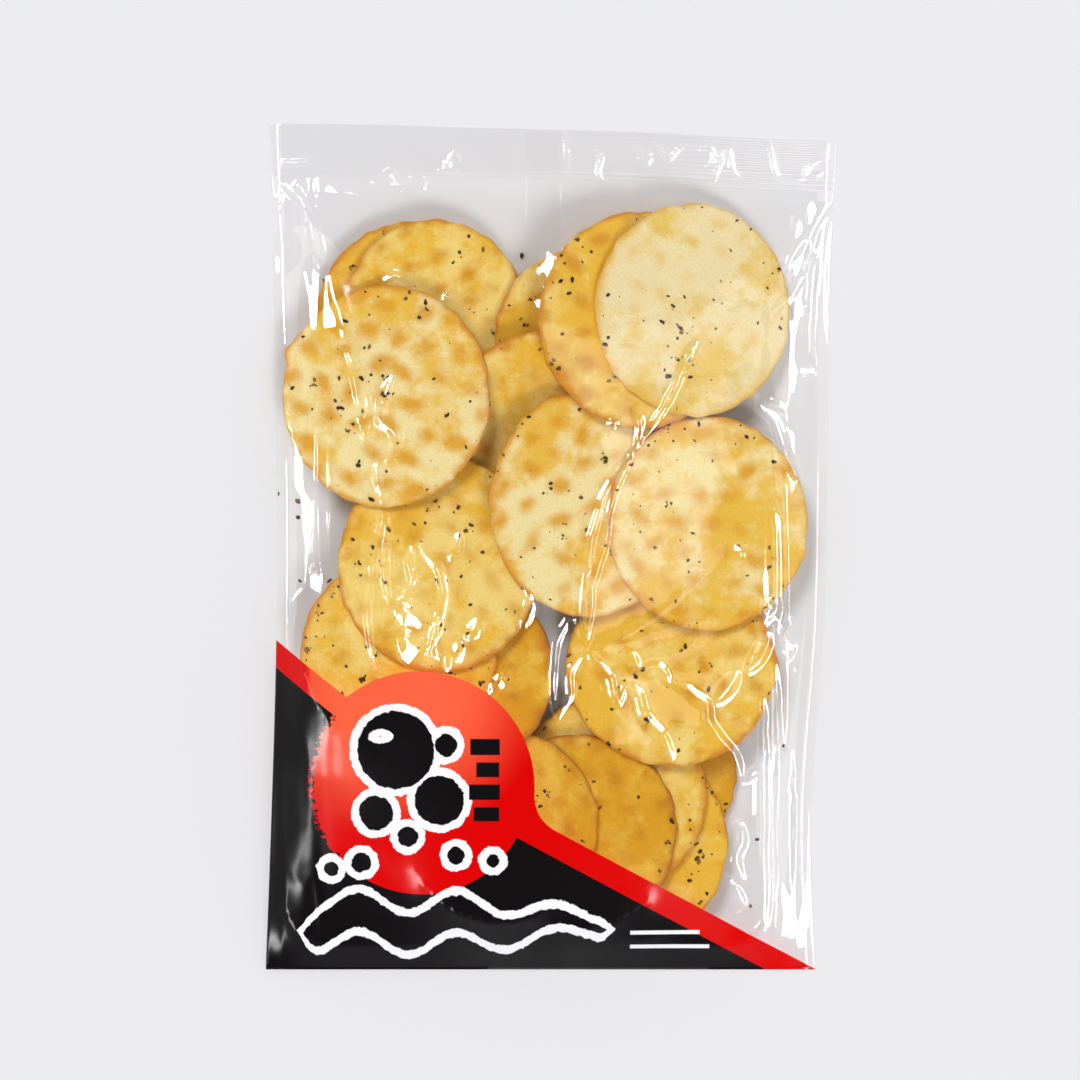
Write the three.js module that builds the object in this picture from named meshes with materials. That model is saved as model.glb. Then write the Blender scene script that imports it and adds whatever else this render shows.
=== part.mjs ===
// A sealed clear bag of round rice crackers, lying on its back with the shown side up.
//
// The bag is one closed solid: a pillow of film drawn taut over the pile of crackers inside it,
// flat underneath where it rests, with a crimped seal across the head end and a creased fold
// across the foot end.
//
// Millimetres, +Z up, +Y towards the crimped seal, +X to the right of the shown side.
// The origin is at the centre of the bag's footprint, on the surface that it rests on.
import * as THREE from "three";

// The bag's outline, seen from above.
const LENGTH = 255; // fold at the foot to the highest point of the crimped seal
const HEAD = LENGTH / 2;
const FOOT = -LENGTH / 2;
const SEAL_LENGTH = 14.5; // depth of the crimped strip
const SEAL_SLANT = 4.6; // how much lower the seal's right end is than its left end
const CUT_WAVE = 0.6; // wander of the cut edge of the seal
// Distance from the centre line at [foot, lower side, waist, shoulder, seal].
const STATIONS = [0, 0.17, 0.42, 0.76, 1];
const LEFT_REACH = [86.2, 84.4, 82.6, 83.4, 85.3];
const RIGHT_REACH = [79.8, 78.2, 82.2, 83.6, 86.5];

// Heights above the resting surface.
const FILM_GAP = 0.9; // thickness of the solid where the two films meet
const SEAL_HEIGHT = 6.5; // underside of the seal, at its middle
const SEAL_DROOP = 3; // how much lower the seal's two ends hang
const SIDE_FOLD_HEIGHT = 9; // underside of the side folds, half way along
const FOOT_FOLD_HEIGHT = 1.2;
const HEADROOM = 0.5; // film above the topmost cracker

// The crimped ribs run across the bag.
const RIB_COUNT = 10;
const RIB_DEPTH = 0.35;

// The flat patch that the bag rests on.
const REST_WIDTH = 118;
const REST_HEAD = 84; // its end towards the seal
const REST_FOOT = -112;

// The pile inside: thin round crackers, from the bottom one to the top one, by their centres.
const CRACKER_RADIUS = 30.5;
const CRACKER_THICKNESS = 3.2;
const PILE = [
  [-45, -94], [-50, -65], [27, -68], [24, -89], [18, -74], [8, -86], [-15, -84],
  [-29, -38], [-46, -32], [-42, 69], [-35, 69], [12, 62], [-2, 35], [-34, -5],
  [36, -36], [11, 13], [27, 68], [-50, 45], [47, 7], [42, 71],
];

const MAX_TILT = 0.34; // slope of the steepest cracker
const SEARCH_STEPS = 18;
const GOLDEN = (Math.sqrt(5) - 1) / 2;

// The grid of the two films.
const COLUMNS = 32;
const BODY_ROWS = 48;
const SEAL_ROWS = 2 * RIB_COUNT;
const ROWS = BODY_ROWS + SEAL_ROWS;
const RELAX_PASSES = 220;
const PUFF = 0.03; // rise of the film at each pass, from the air inside

const { lerp, smoothstep, clamp } = THREE.MathUtils;

// A smooth curve through one side's reach at each station, as a function of 0 (foot) to 1 (seal).
function sideCurve(reach) {
  const curve = new THREE.SplineCurve(
    STATIONS.map((along, i) => new THREE.Vector2(along, reach[i])),
  );
  const samples = curve.getPoints(200);
  return (along) => {
    const next = samples.findIndex((p) => p.x >= along);
    if (next <= 0) return samples[next < 0 ? samples.length - 1 : 0].y;
    const [a, b] = [samples[next - 1], samples[next]];
    return lerp(a.y, b.y, (along - a.x) / (b.x - a.x));
  };
}
const leftReach = sideCurve(LEFT_REACH);
const rightReach = sideCurve(RIGHT_REACH);

// The seal's cut edge at a place across the bag, from 0 (left) to 1 (right).
function cutEdge(across) {
  const wave = CUT_WAVE * (Math.cos(across * 9.5) - 1) * 0.5;
  return HEAD - SEAL_SLANT * smoothstep(across, 0.12, 1.05) + wave;
}

// Plan position of the grid's node: rows climb the body, then the crimped strip.
function plan(column, row) {
  const across = column / COLUMNS;
  const cut = cutEdge(across);
  const sealFoot = cut - SEAL_LENGTH;
  const y =
    row <= BODY_ROWS
      ? lerp(FOOT, sealFoot, row / BODY_ROWS)
      : lerp(sealFoot, cut, (row - BODY_ROWS) / SEAL_ROWS);
  const along = clamp((y - FOOT) / LENGTH, 0, 1);
  return { x: lerp(-leftReach(along), rightReach(along), across), y, across, along };
}

// Height of the lower film: flat over the resting patch, then rising to the folds and the seal.
function undersideHeight({ x, y, across, along }) {
  const sideEdge = x < 0 ? leftReach(along) : rightReach(along);
  const toSide = clamp((Math.abs(x) - REST_WIDTH / 2) / (sideEdge - REST_WIDTH / 2), 0, 1);
  const toSeal = clamp((y - REST_HEAD) / (HEAD - SEAL_LENGTH - REST_HEAD), 0, 1);
  const toFoot = clamp((REST_FOOT - y) / (REST_FOOT - FOOT), 0, 1);
  const sag = Math.sin(Math.PI * clamp(along, 0, 1)) ** 0.6;
  const side = SIDE_FOLD_HEIGHT * sag * toSide ** 1.8;
  const seal = (SEAL_HEIGHT - SEAL_DROOP * (2 * across - 1) ** 2) * toSeal ** 1.7;
  const foot = FOOT_FOLD_HEIGHT * toFoot ** 2;
  return Math.hypot(side * (1 - toSeal), seal, foot);
}

// The place in a range where a function that dips once is lowest, by golden section.
function lowestPoint(value, low, high) {
  let [a, b] = [low, high];
  for (let step = 0; step < SEARCH_STEPS; step += 1) {
    const c = b - GOLDEN * (b - a);
    const d = a + GOLDEN * (b - a);
    if (value(c) < value(d)) b = d;
    else a = c;
  }
  return (a + b) / 2;
}

// How a flat disc lies on a bumpy bed: the tilt that lets its centre sink lowest.
function restOn(bed) {
  const lift = (tiltX, tiltY) =>
    bed.reduce((most, { dx, dy, height }) => Math.max(most, height - tiltX * dx - tiltY * dy), 0);
  const bestTiltY = (tiltX) => lowestPoint((t) => lift(tiltX, t), -MAX_TILT, MAX_TILT);
  const tiltX = lowestPoint((t) => lift(t, bestTiltY(t)), -MAX_TILT, MAX_TILT);
  const tiltY = bestTiltY(tiltX);
  return { tiltX, tiltY, height: lift(tiltX, tiltY) };
}

// Stacks the crackers one by one on a height field over the grid, and returns the pile's top.
function stackPile(nodes) {
  const top = nodes.map((node) => undersideHeight(node));
  for (const [cx, cy] of PILE) {
    const bed = nodes
      .map(({ x, y }, i) => ({ i, dx: x - cx, dy: y - cy, height: top[i] }))
      .filter(({ dx, dy }) => Math.hypot(dx, dy) < CRACKER_RADIUS);
    const { tiltX, tiltY, height } = restOn(bed);
    for (const { i, dx, dy } of bed)
      top[i] = Math.max(top[i], height + tiltX * dx + tiltY * dy + CRACKER_THICKNESS);
  }
  return top;
}

// The upper film: a membrane pinned at its folds and seal, pulled taut over the pile.
function drawTaut(nodes, floor) {
  const index = (column, row) => row * (COLUMNS + 1) + column;
  let film = floor.map((height) => height + FILM_GAP);
  const lowest = nodes.map((node, i) => Math.max(floor[i] + HEADROOM, undersideHeight(node) + FILM_GAP));
  for (let pass = 0; pass < RELAX_PASSES; pass += 1) {
    const next = film.slice();
    for (let row = 1; row < BODY_ROWS; row += 1) {
      for (let column = 1; column < COLUMNS; column += 1) {
        const around =
          film[index(column - 1, row)] +
          film[index(column + 1, row)] +
          film[index(column, row - 1)] +
          film[index(column, row + 1)];
        const i = index(column, row);
        next[i] = Math.max(lowest[i], around / 4 + PUFF);
      }
    }
    film = next;
  }
  return film;
}

// Zigzag of the crimped ribs: alternate rows of the strip stand up and lie down.
function ribLift(row) {
  const inStrip = row > BODY_ROWS && row < ROWS;
  return inStrip && (row - BODY_ROWS) % 2 === 1 ? RIB_DEPTH : 0;
}

// A flat box whose two large faces carry the grid is bent into the bag.
function bagGeometry() {
  const nodes = [];
  for (let row = 0; row <= ROWS; row += 1)
    for (let column = 0; column <= COLUMNS; column += 1) nodes.push(plan(column, row));
  const pile = stackPile(nodes);
  const film = drawTaut(nodes, pile);

  const geometry = new THREE.BoxGeometry(1, 1, 1, COLUMNS, ROWS, 1);
  const places = geometry.getAttribute("position");
  for (let i = 0; i < places.count; i += 1) {
    const column = Math.round((places.getX(i) + 0.5) * COLUMNS);
    const row = Math.round((places.getY(i) + 0.5) * ROWS);
    const onTop = places.getZ(i) > 0;
    const at = row * (COLUMNS + 1) + column;
    const node = nodes[at];
    const onEdge = column === 0 || column === COLUMNS || row === 0 || row >= BODY_ROWS;
    const underside = undersideHeight(node) + ribLift(row);
    const upper = onEdge ? underside + FILM_GAP : film[at];
    places.setXYZ(i, node.x, node.y, onTop ? upper : underside);
  }
  geometry.computeVertexNormals();
  return geometry;
}

const clearFilm = new THREE.MeshStandardMaterial({
  name: "clear_film",
  color: 0xe3c07a,
  roughness: 0.22,
  metalness: 0,
});

const sealedBag = new THREE.Mesh(bagGeometry(), clearFilm);
sealedBag.name = "sealed_bag";

const pack = new THREE.Group();
pack.add(sealedBag);

export default pack;
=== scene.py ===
"""A sealed clear bag of round toasted rice crackers with black pepper, lying on its back.

The bag's film, its printed corner and everything inside it stand for the one solid that the
frame holds. Sizes are millimetres in the bag's own frame: +Y runs towards the crimped seal,
+X to the right of the shown side and +Z up from the surface that the bag rests on. Meshes are
written in metres, in that same frame.
"""

import logging
import math
from dataclasses import dataclass, field
from enum import Enum
from typing import Callable

import bmesh
import bpy
import numpy as np
from mathutils import Matrix, Vector


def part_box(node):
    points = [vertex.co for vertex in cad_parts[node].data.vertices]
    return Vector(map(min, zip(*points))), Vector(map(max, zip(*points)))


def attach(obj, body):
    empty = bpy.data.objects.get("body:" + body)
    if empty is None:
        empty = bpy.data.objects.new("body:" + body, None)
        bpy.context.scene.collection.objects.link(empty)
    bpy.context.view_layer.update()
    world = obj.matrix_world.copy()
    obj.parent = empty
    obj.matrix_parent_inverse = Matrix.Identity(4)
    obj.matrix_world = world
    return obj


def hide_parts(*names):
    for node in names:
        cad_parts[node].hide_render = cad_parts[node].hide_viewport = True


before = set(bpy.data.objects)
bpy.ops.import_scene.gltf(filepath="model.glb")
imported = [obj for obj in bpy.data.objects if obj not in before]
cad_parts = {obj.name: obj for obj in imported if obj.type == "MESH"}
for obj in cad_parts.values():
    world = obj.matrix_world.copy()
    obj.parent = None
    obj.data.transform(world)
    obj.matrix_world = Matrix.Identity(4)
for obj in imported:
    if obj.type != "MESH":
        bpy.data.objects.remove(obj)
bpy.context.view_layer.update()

log = logging.getLogger("cracker_bag")
Array = np.ndarray
Colour = tuple[float, float, float]
Point = tuple[float, float]
Circle = tuple[float, float, float]
Bar = tuple[float, float, float, float]

MM = 0.001
BAG_NODE = "sealed_bag"
BODY = "root"
LOW, HIGH = (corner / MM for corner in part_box(BAG_NODE))
FOOT, HEAD = LOW.y, HIGH.y
GOLDEN = (math.sqrt(5) - 1) / 2


# ---------------------------------------------------------------- numbers and shapes


def ease(value: Array | float) -> Array | float:
    """A smooth step from 0 to 1 as value goes from 0 to 1."""
    t = np.clip(value, 0.0, 1.0)
    return t * t * (3 - 2 * t)


def smooth_line(at: Array, stations: list[float], values: list[float]) -> Array:
    """A smooth curve through a few values.

    Args:
        at: Where the curve is wanted.
        stations: Rising places of the values.
        values: The curve's value at each station.

    Returns:
        The curve at each wanted place.
    """
    slopes = np.gradient(np.array(values, float), np.array(stations, float))
    k = np.clip(np.searchsorted(stations, at, side="right") - 1, 0, len(stations) - 2)
    start = np.array(stations)[k]
    span = np.array(stations)[k + 1] - start
    t = np.clip((at - start) / span, 0.0, 1.0)
    rise = ease(t)
    return (
        np.array(values)[k] * (1 - rise)
        + np.array(values)[k + 1] * rise
        + span * slopes[k] * t * (1 - t) ** 2
        - span * slopes[k + 1] * t * t * (1 - t)
    )


def lattice(column: Array, row: Array, seed: float) -> Array:
    """Random height between -1 and 1 of each corner of a square lattice, the same on every run."""
    wave = np.sin(column * 127.1 + row * 311.7 + seed * 17.3) * 43758.5453
    return 2 * (wave - np.floor(wave)) - 1


def lumps(x: Array, y: Array, size: float, seed: float) -> Array:
    """Smooth random relief over a plane, the same on every run.

    Args:
        x: Places across, in millimetres.
        y: Places along, in millimetres.
        size: Width of one lump, in millimetres.
        seed: Number that picks the pattern.

    Returns:
        Heights between -1 and 1.
    """
    gx, gy = x / size + seed * 7.31, y / size - seed * 3.77
    ix, iy = np.floor(gx), np.floor(gy)
    tx, ty = ease(gx - ix), ease(gy - iy)
    low = lattice(ix, iy, seed) * (1 - tx) + lattice(ix + 1, iy, seed) * tx
    high = lattice(ix, iy + 1, seed) * (1 - tx) + lattice(ix + 1, iy + 1, seed) * tx
    return low * (1 - ty) + high * ty


def facets(x: Array, y: Array, size: float, seed: float) -> Array:
    """Random relief made of flat triangles with sharp edges, the same on every run.

    Args:
        x: Places across, in millimetres.
        y: Places along, in millimetres.
        size: Width of one facet, in millimetres.
        seed: Number that picks the pattern.

    Returns:
        Heights between -1 and 1.
    """
    bend = 0.45 * size
    warp_x = bend * lumps(x, y, 2.1 * size, seed + 0.5)
    warp_y = bend * lumps(x, y, 2.3 * size, seed + 0.7)
    turn = seed * 1.3
    gx = ((x + warp_x) * math.cos(turn) - (y + warp_y) * math.sin(turn)) / size
    gy = ((x + warp_x) * math.sin(turn) + (y + warp_y) * math.cos(turn)) / size
    ix, iy = np.floor(gx), np.floor(gy)
    tx, ty = gx - ix, gy - iy
    near, right = lattice(ix, iy, seed), lattice(ix + 1, iy, seed)
    ahead, far = lattice(ix, iy + 1, seed), lattice(ix + 1, iy + 1, seed)
    lower = near + tx * (right - near) + ty * (far - right)
    upper = near + ty * (ahead - near) + tx * (far - ahead)
    return np.where(tx > ty, lower, upper)


def lowest_point(value: Callable[[float], float], low: float, high: float) -> float:
    """Where a function that dips once is lowest, by golden section.

    Args:
        value: The function.
        low: Low end of the stretch that is searched.
        high: High end of that stretch.

    Returns:
        The place.
    """
    for _ in range(20):
        a, b = high - GOLDEN * (high - low), low + GOLDEN * (high - low)
        if value(a) < value(b):
            high = b
        else:
            low = a
    return (low + high) / 2


@dataclass
class HeightMap:
    """Height of the highest thing at each place in the bag, on a square grid."""

    step: float = 1.0
    margin: float = 4.0
    x: Array = field(init=False)
    y: Array = field(init=False)
    top: Array = field(init=False)
    owner: Array = field(init=False)

    def __post_init__(self) -> None:
        """Lays out an empty grid over the bag."""
        across = np.arange(LOW.x - self.margin, HIGH.x + self.margin, self.step)
        along = np.arange(FOOT - self.margin, HEAD + self.margin, self.step)
        self.x, self.y = np.meshgrid(across, along)
        self.top = np.zeros_like(self.x)
        self.owner = np.full(self.x.shape, -1)

    def raise_to(self, height: Array, where: Array, owner: int = -1) -> None:
        """Puts a thing on the map: its height counts where it is above what is there.

        Args:
            height: Height of the thing at each point of the grid.
            where: The points that it covers.
            owner: Its number, or -1.
        """
        higher = where & (height > self.top)
        self.top[higher] = height[higher]
        self.owner[higher] = owner

    def at(self, x: Array, y: Array) -> Array:
        """Heights at any places, blended between the grid's points.

        Args:
            x: Places across.
            y: Places along.

        Returns:
            The height at each.
        """
        gx = np.clip((x - self.x[0, 0]) / self.step, 0, self.x.shape[1] - 1.001)
        gy = np.clip((y - self.y[0, 0]) / self.step, 0, self.x.shape[0] - 1.001)
        ix, iy = gx.astype(int), gy.astype(int)
        tx, ty = gx - ix, gy - iy
        low = self.top[iy, ix] * (1 - tx) + self.top[iy, ix + 1] * tx
        high = self.top[iy + 1, ix] * (1 - tx) + self.top[iy + 1, ix + 1] * tx
        return low * (1 - ty) + high * ty

    def owner_at(self, x: float, y: float) -> int:
        """Number of the thing that is on top at a place, or -1.

        Args:
            x: Place across.
            y: Place along.

        Returns:
            The number.
        """
        ix = round((x - self.x[0, 0]) / self.step)
        iy = round((y - self.y[0, 0]) / self.step)
        return int(self.owner[iy, ix])


def points_of(mesh: bpy.types.Mesh) -> Array:
    """A mesh's points as rows of x, y and z.

    Args:
        mesh: The mesh.

    Returns:
        The points, in the mesh's own units.
    """
    flat = np.empty(len(mesh.vertices) * 3)
    mesh.vertices.foreach_get("co", flat)
    return flat.reshape(-1, 3)


def set_points(mesh: bpy.types.Mesh, points: Array) -> None:
    """Writes rows of x, y and z, in millimetres, to a mesh in metres."""
    mesh.vertices.foreach_set("co", (points * MM).ravel())
    mesh.update()


def set_attribute(mesh: bpy.types.Mesh, name: str, values: Array) -> None:
    """Stores one number for each point of a mesh, which materials read by name."""
    attribute = mesh.attributes.new(name, "FLOAT", "POINT")
    attribute.data.foreach_set("value", np.asarray(values, np.float32))


def mesh_from(name: str, bm: bmesh.types.BMesh) -> bpy.types.Mesh:
    """A new mesh from a bmesh, which is freed.

    Args:
        name: The mesh's name.
        bm: The bmesh.

    Returns:
        The mesh.
    """
    mesh = bpy.data.meshes.new(name)
    bm.to_mesh(mesh)
    bm.free()
    return mesh


def scaled_mesh(name: str, bm: bmesh.types.BMesh) -> bpy.types.Mesh:
    """A new mesh, in metres, from a bmesh in millimetres.

    Args:
        name: The mesh's name.
        bm: The bmesh, which is freed.

    Returns:
        The mesh.
    """
    mesh = mesh_from(name, bm)
    set_points(mesh, points_of(mesh))
    return mesh


def place_piece(
    name: str, mesh: bpy.types.Mesh, *materials: bpy.types.Material, clear: bool = False
) -> bpy.types.Object:
    """Makes a piece of the bag from a finished mesh.

    Args:
        name: The piece's name.
        mesh: Its mesh, in metres.
        materials: Its material slots, in order.
        clear: Whether it is clear plastic, which throws no shadow.

    Returns:
        The piece, riding on the bag's one body.
    """
    for material in materials:
        mesh.materials.append(material)
    mesh.polygons.foreach_set("use_smooth", [True] * len(mesh.polygons))
    piece = bpy.data.objects.new(name, mesh)
    bpy.context.scene.collection.objects.link(piece)
    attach(piece, BODY)
    if clear:
        piece.visible_shadow = False
    log.info("%s: %d faces", name, len(mesh.polygons))
    return piece


# ---------------------------------------------------------------- shader building


class Value:
    """A shader socket that carries a number, so that shader maths reads as Python."""

    def __init__(self, graph: "Graph", socket: bpy.types.NodeSocket) -> None:
        """Wraps an output socket of the graph."""
        self.graph = graph
        self.socket = socket

    def _maths(self, operation: str, *inputs: "Value | float") -> "Value":
        """The result of a Math node on the given inputs."""
        node = self.graph.node("ShaderNodeMath", {"operation": operation}, dict(enumerate(inputs)))
        return Value(self.graph, node.outputs[0])

    def __add__(self, other: "Value | float") -> "Value":
        """Sum."""
        return self._maths("ADD", self, other)

    __radd__ = __add__

    def __sub__(self, other: "Value | float") -> "Value":
        """Difference."""
        return self._maths("SUBTRACT", self, other)

    def __rsub__(self, other: float) -> "Value":
        """Difference from a plain number."""
        return self._maths("SUBTRACT", other, self)

    def __mul__(self, other: "Value | float") -> "Value":
        """Product."""
        return self._maths("MULTIPLY", self, other)

    __rmul__ = __mul__

    def __truediv__(self, other: "Value | float") -> "Value":
        """Quotient."""
        return self._maths("DIVIDE", self, other)

    def __pow__(self, other: "Value | float") -> "Value":
        """Power."""
        return self._maths("POWER", self, other)

    def __abs__(self) -> "Value":
        """Size without its sign."""
        return self._maths("ABSOLUTE", self)

    def sine(self) -> "Value":
        """The sine of the value."""
        return self._maths("SINE", self)

    def root(self) -> "Value":
        """Square root."""
        return self._maths("SQRT", self)

    def least(self, other: "Value | float") -> "Value":
        """The lower of two numbers."""
        return self._maths("MINIMUM", self, other)

    def most(self, other: "Value | float") -> "Value":
        """The higher of two numbers."""
        return self._maths("MAXIMUM", self, other)

    def ramp(self, low: float, high: float) -> "Value":
        """A smooth step from 0 at low to 1 at high, or down if high is the lower.

        Args:
            low: The value at which the step is 0.
            high: The value at which it is 1.

        Returns:
            The step.
        """
        settings = {"interpolation_type": "SMOOTHSTEP", "clamp": True}
        if low < high:
            inputs = {"Value": self, "From Min": low, "From Max": high}
            return Value(self.graph, self.graph.node("ShaderNodeMapRange", settings, inputs).outputs[0])
        return 1 - self.ramp(high, low)


@dataclass
class Graph:
    """The node tree of one material, or of the sky."""

    owner: bpy.types.Material | bpy.types.World

    def __post_init__(self) -> None:
        """Empties the tree."""
        self.owner.use_nodes = True
        self.owner.node_tree.nodes.clear()

    @classmethod
    def material(cls, name: str) -> "Graph":
        """The graph of a new material."""
        return cls(bpy.data.materials.new(name))

    def node(self, kind: str, settings: dict | None = None, inputs: dict | None = None) -> bpy.types.Node:
        """Adds a node.

        Args:
            kind: The node's type.
            settings: Its properties, which are set first; stops fills a colour ramp.
            inputs: Numbers, colours or links for its sockets, by name or place.

        Returns:
            The node.
        """
        made = self.owner.node_tree.nodes.new(kind)
        for key, setting in (settings or {}).items():
            if key == "stops":
                self._fill_ramp(made, setting)
            else:
                setattr(made, key, setting)
        for key, given in (inputs or {}).items():
            self._connect(made.inputs[key], given)
        return made

    def _connect(self, socket: bpy.types.NodeSocket, given: object) -> None:
        """Links a socket, or sets its number or colour.

        Args:
            socket: The socket.
            given: A value, another socket, a number or a colour.
        """
        if isinstance(given, Value):
            given = given.socket
        if isinstance(given, bpy.types.NodeSocket):
            self.owner.node_tree.links.new(given, socket)
        elif isinstance(given, tuple) and socket.type == "RGBA":
            socket.default_value = (*given, 1.0)
        else:
            socket.default_value = given

    @staticmethod
    def _fill_ramp(node: bpy.types.Node, stops: tuple[tuple[float, Colour], ...]) -> None:
        """Sets a colour ramp's stops.

        Args:
            node: The ramp.
            stops: Places from 0 to 1, with their colours.
        """
        elements = node.color_ramp.elements
        while len(elements) < len(stops):
            elements.new(0.5)
        for element, (position, colour) in zip(elements, stops, strict=True):
            element.position = position
            element.color = (*colour, 1.0)

    def value(self, kind: str, settings: dict | None = None, inputs: dict | None = None) -> Value:
        """The first output of a new node, as a number."""
        return Value(self, self.node(kind, settings, inputs).outputs[0])

    def attribute(self, name: str) -> Value:
        """A number stored on the mesh's points."""
        return Value(self, self.node("ShaderNodeAttribute", {"attribute_name": name}).outputs["Fac"])

    def places(self) -> bpy.types.NodeSocket:
        """Object coordinates, in metres."""
        return self.node("ShaderNodeTexCoord").outputs["Object"]

    def axes(self) -> tuple[Value, Value, Value]:
        """Object coordinates as three numbers, in millimetres.

        Returns:
            The places across, along and up.
        """
        split = self.node("ShaderNodeSeparateXYZ", None, {0: self.places()})
        x, y, z = (Value(self, output) * (1 / MM) for output in split.outputs)
        return x, y, z

    def noise(self, size: float, detail: float = 2.0, rough: float = 0.5) -> Value:
        """Smooth noise between 0 and 1 whose lumps measure size millimetres.

        Args:
            size: Width of one lump.
            detail: How many finer layers there are.
            rough: How strong those are.

        Returns:
            The noise.
        """
        inputs = {
            "Vector": self.places(),
            "Scale": 1 / (size * MM),
            "Detail": detail,
            "Roughness": rough,
        }
        return self.value("ShaderNodeTexNoise", {"noise_dimensions": "3D"}, inputs)

    def cells(self, size: float) -> Value:
        """Distance pattern of random cells that measure size millimetres."""
        inputs = {"Vector": self.places(), "Scale": 1 / (size * MM)}
        return Value(self, self.node("ShaderNodeTexVoronoi", None, inputs).outputs["Distance"])

    def blend(self, share: Value | float, a: object, b: object, mode: str = "MIX") -> bpy.types.NodeSocket:
        """Colour a turned to colour b by a share."""
        settings = {"data_type": "RGBA", "blend_type": mode, "clamp_factor": True}
        return self.node("ShaderNodeMix", settings, {0: share, 6: a, 7: b}).outputs[2]

    def bump(self, height: Value, strength: float, depth: float) -> bpy.types.NodeSocket:
        """A normal from a height between 0 and 1 that stands for depth millimetres."""
        inputs = {"Height": height, "Strength": strength, "Distance": depth * MM}
        return self.node("ShaderNodeBump", None, inputs).outputs[0]

    def principled(self, inputs: dict) -> bpy.types.Node:
        """The everyday surface shader, with its sockets filled."""
        return self.node("ShaderNodeBsdfPrincipled", None, inputs)

    def mix_shaders(self, share: Value | float, a: bpy.types.Node, b: bpy.types.Node) -> bpy.types.Node:
        """Shader a turned to shader b by a share."""
        return self.node("ShaderNodeMixShader", None, {0: share, 1: a.outputs[0], 2: b.outputs[0]})

    def finish(self, shader: bpy.types.Node) -> bpy.types.Material:
        """Ends the graph of a material with its surface shader."""
        self.node("ShaderNodeOutputMaterial", None, {"Surface": shader.outputs[0]})
        return self.owner


def linear(red: int, green: int, blue: int) -> Colour:
    """A display colour from 0 to 255 as the linear numbers that shaders take.

    Args:
        red: Level of red.
        green: Level of green.
        blue: Level of blue.

    Returns:
        The three linear numbers.
    """

    def channel(level: float) -> float:
        """One channel."""
        share = level / 255
        return share / 12.92 if share <= 0.04045 else ((share + 0.055) / 1.055) ** 2.4

    return channel(red), channel(green), channel(blue)


# ---------------------------------------------------------------- finishes


@dataclass(frozen=True)
class CrackerCrust:
    """Matte baked rice dough: pale where it puffed, golden between, brown where it touched the grill."""

    name: str
    pale: Colour
    gold: Colour
    toasted: Colour
    rim: Colour
    gold_share: float

    def make(self) -> bpy.types.Material:
        """Builds the material.

        Returns:
            The material.
        """
        g = Graph.material(self.name)
        cloud = g.noise(16, 3, 0.55) - 0.5
        mottle = g.noise(4.2, 4, 0.6) - 0.5
        gold = (g.attribute("gold") + cloud * 0.9 + mottle + (self.gold_share - 0.5)).ramp(0.22, 0.76)
        toast = (g.attribute("toast") * (1 + mottle * 1.1)).ramp(0.0, 0.86)
        rim = (g.attribute("rim") * (g.noise(8, 3, 0.6) * 2.6 - 0.5)).ramp(0.1, 0.95)
        colour = g.blend(gold, self.pale, self.gold)
        colour = g.blend(toast * 0.9, colour, self.toasted)
        colour = g.blend(rim * 0.85, colour, self.rim)
        grain = g.noise(0.7, 3, 0.65)
        speckle = g.blend(grain.ramp(0.3, 0.72), (0.88, 0.84, 0.76), (1.05, 1.05, 1.03))
        colour = g.blend(0.5, colour, speckle, "MULTIPLY")
        dust = g.cells(2.3).ramp(0.085, 0.045) * g.noise(14, 2).ramp(0.47, 0.62)
        colour = g.blend(dust * 0.75, colour, linear(92, 60, 34))
        height = g.noise(2.6, 4, 0.6) * 0.6 + g.cells(1.5).ramp(0.0, 0.7) * 0.25 + grain * 0.15
        shader = g.principled(
            {
                "Base Color": colour,
                "Roughness": 0.62 - toast * 0.12 + (grain - 0.5) * 0.2,
                "Specular IOR Level": 0.08,
                "Normal": g.bump(height, 0.55, 0.35),
            }
        )
        return g.finish(shader)


class Bake(Enum):
    """How dark a cracker came off the grill."""

    PALE = CrackerCrust(
        name="crust_pale",
        pale=linear(237, 219, 168),
        gold=linear(229, 194, 92),
        toasted=linear(226, 178, 66),
        rim=linear(226, 178, 74),
        gold_share=0.42,
    )
    LIGHT = CrackerCrust(
        name="crust_light",
        pale=linear(240, 222, 160),
        gold=linear(232, 186, 66),
        toasted=linear(220, 158, 24),
        rim=linear(216, 146, 36),
        gold_share=0.52,
    )
    GOLDEN = CrackerCrust(
        name="crust_golden",
        pale=linear(241, 213, 124),
        gold=linear(232, 183, 52),
        toasted=linear(211, 144, 12),
        rim=linear(204, 128, 20),
        gold_share=0.58,
    )
    DEEP = CrackerCrust(
        name="crust_deep",
        pale=linear(232, 190, 70),
        gold=linear(216, 157, 12),
        toasted=linear(192, 116, 0),
        rim=linear(180, 102, 4),
        gold_share=0.64,
    )


@dataclass(frozen=True)
class PepperSkin:
    """Cracked black pepper: near-black skin with a few tan chips of kernel."""

    dark: Colour = linear(62, 40, 18)
    tan: Colour = linear(146, 106, 58)

    def make(self) -> bpy.types.Material:
        """Builds the material.

        Returns:
            The material.
        """
        g = Graph.material("pepper_skin")
        shade = (g.attribute("shade") + (g.noise(0.35, 2) - 0.5) * 0.5).ramp(0.35, 1.1)
        shader = g.principled(
            {
                "Base Color": g.blend(shade, self.dark, self.tan),
                "Roughness": 0.7,
                "Specular IOR Level": 0.06,
                "Normal": g.bump(g.noise(0.25, 2), 0.8, 0.1),
            }
        )
        return g.finish(shader)


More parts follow.
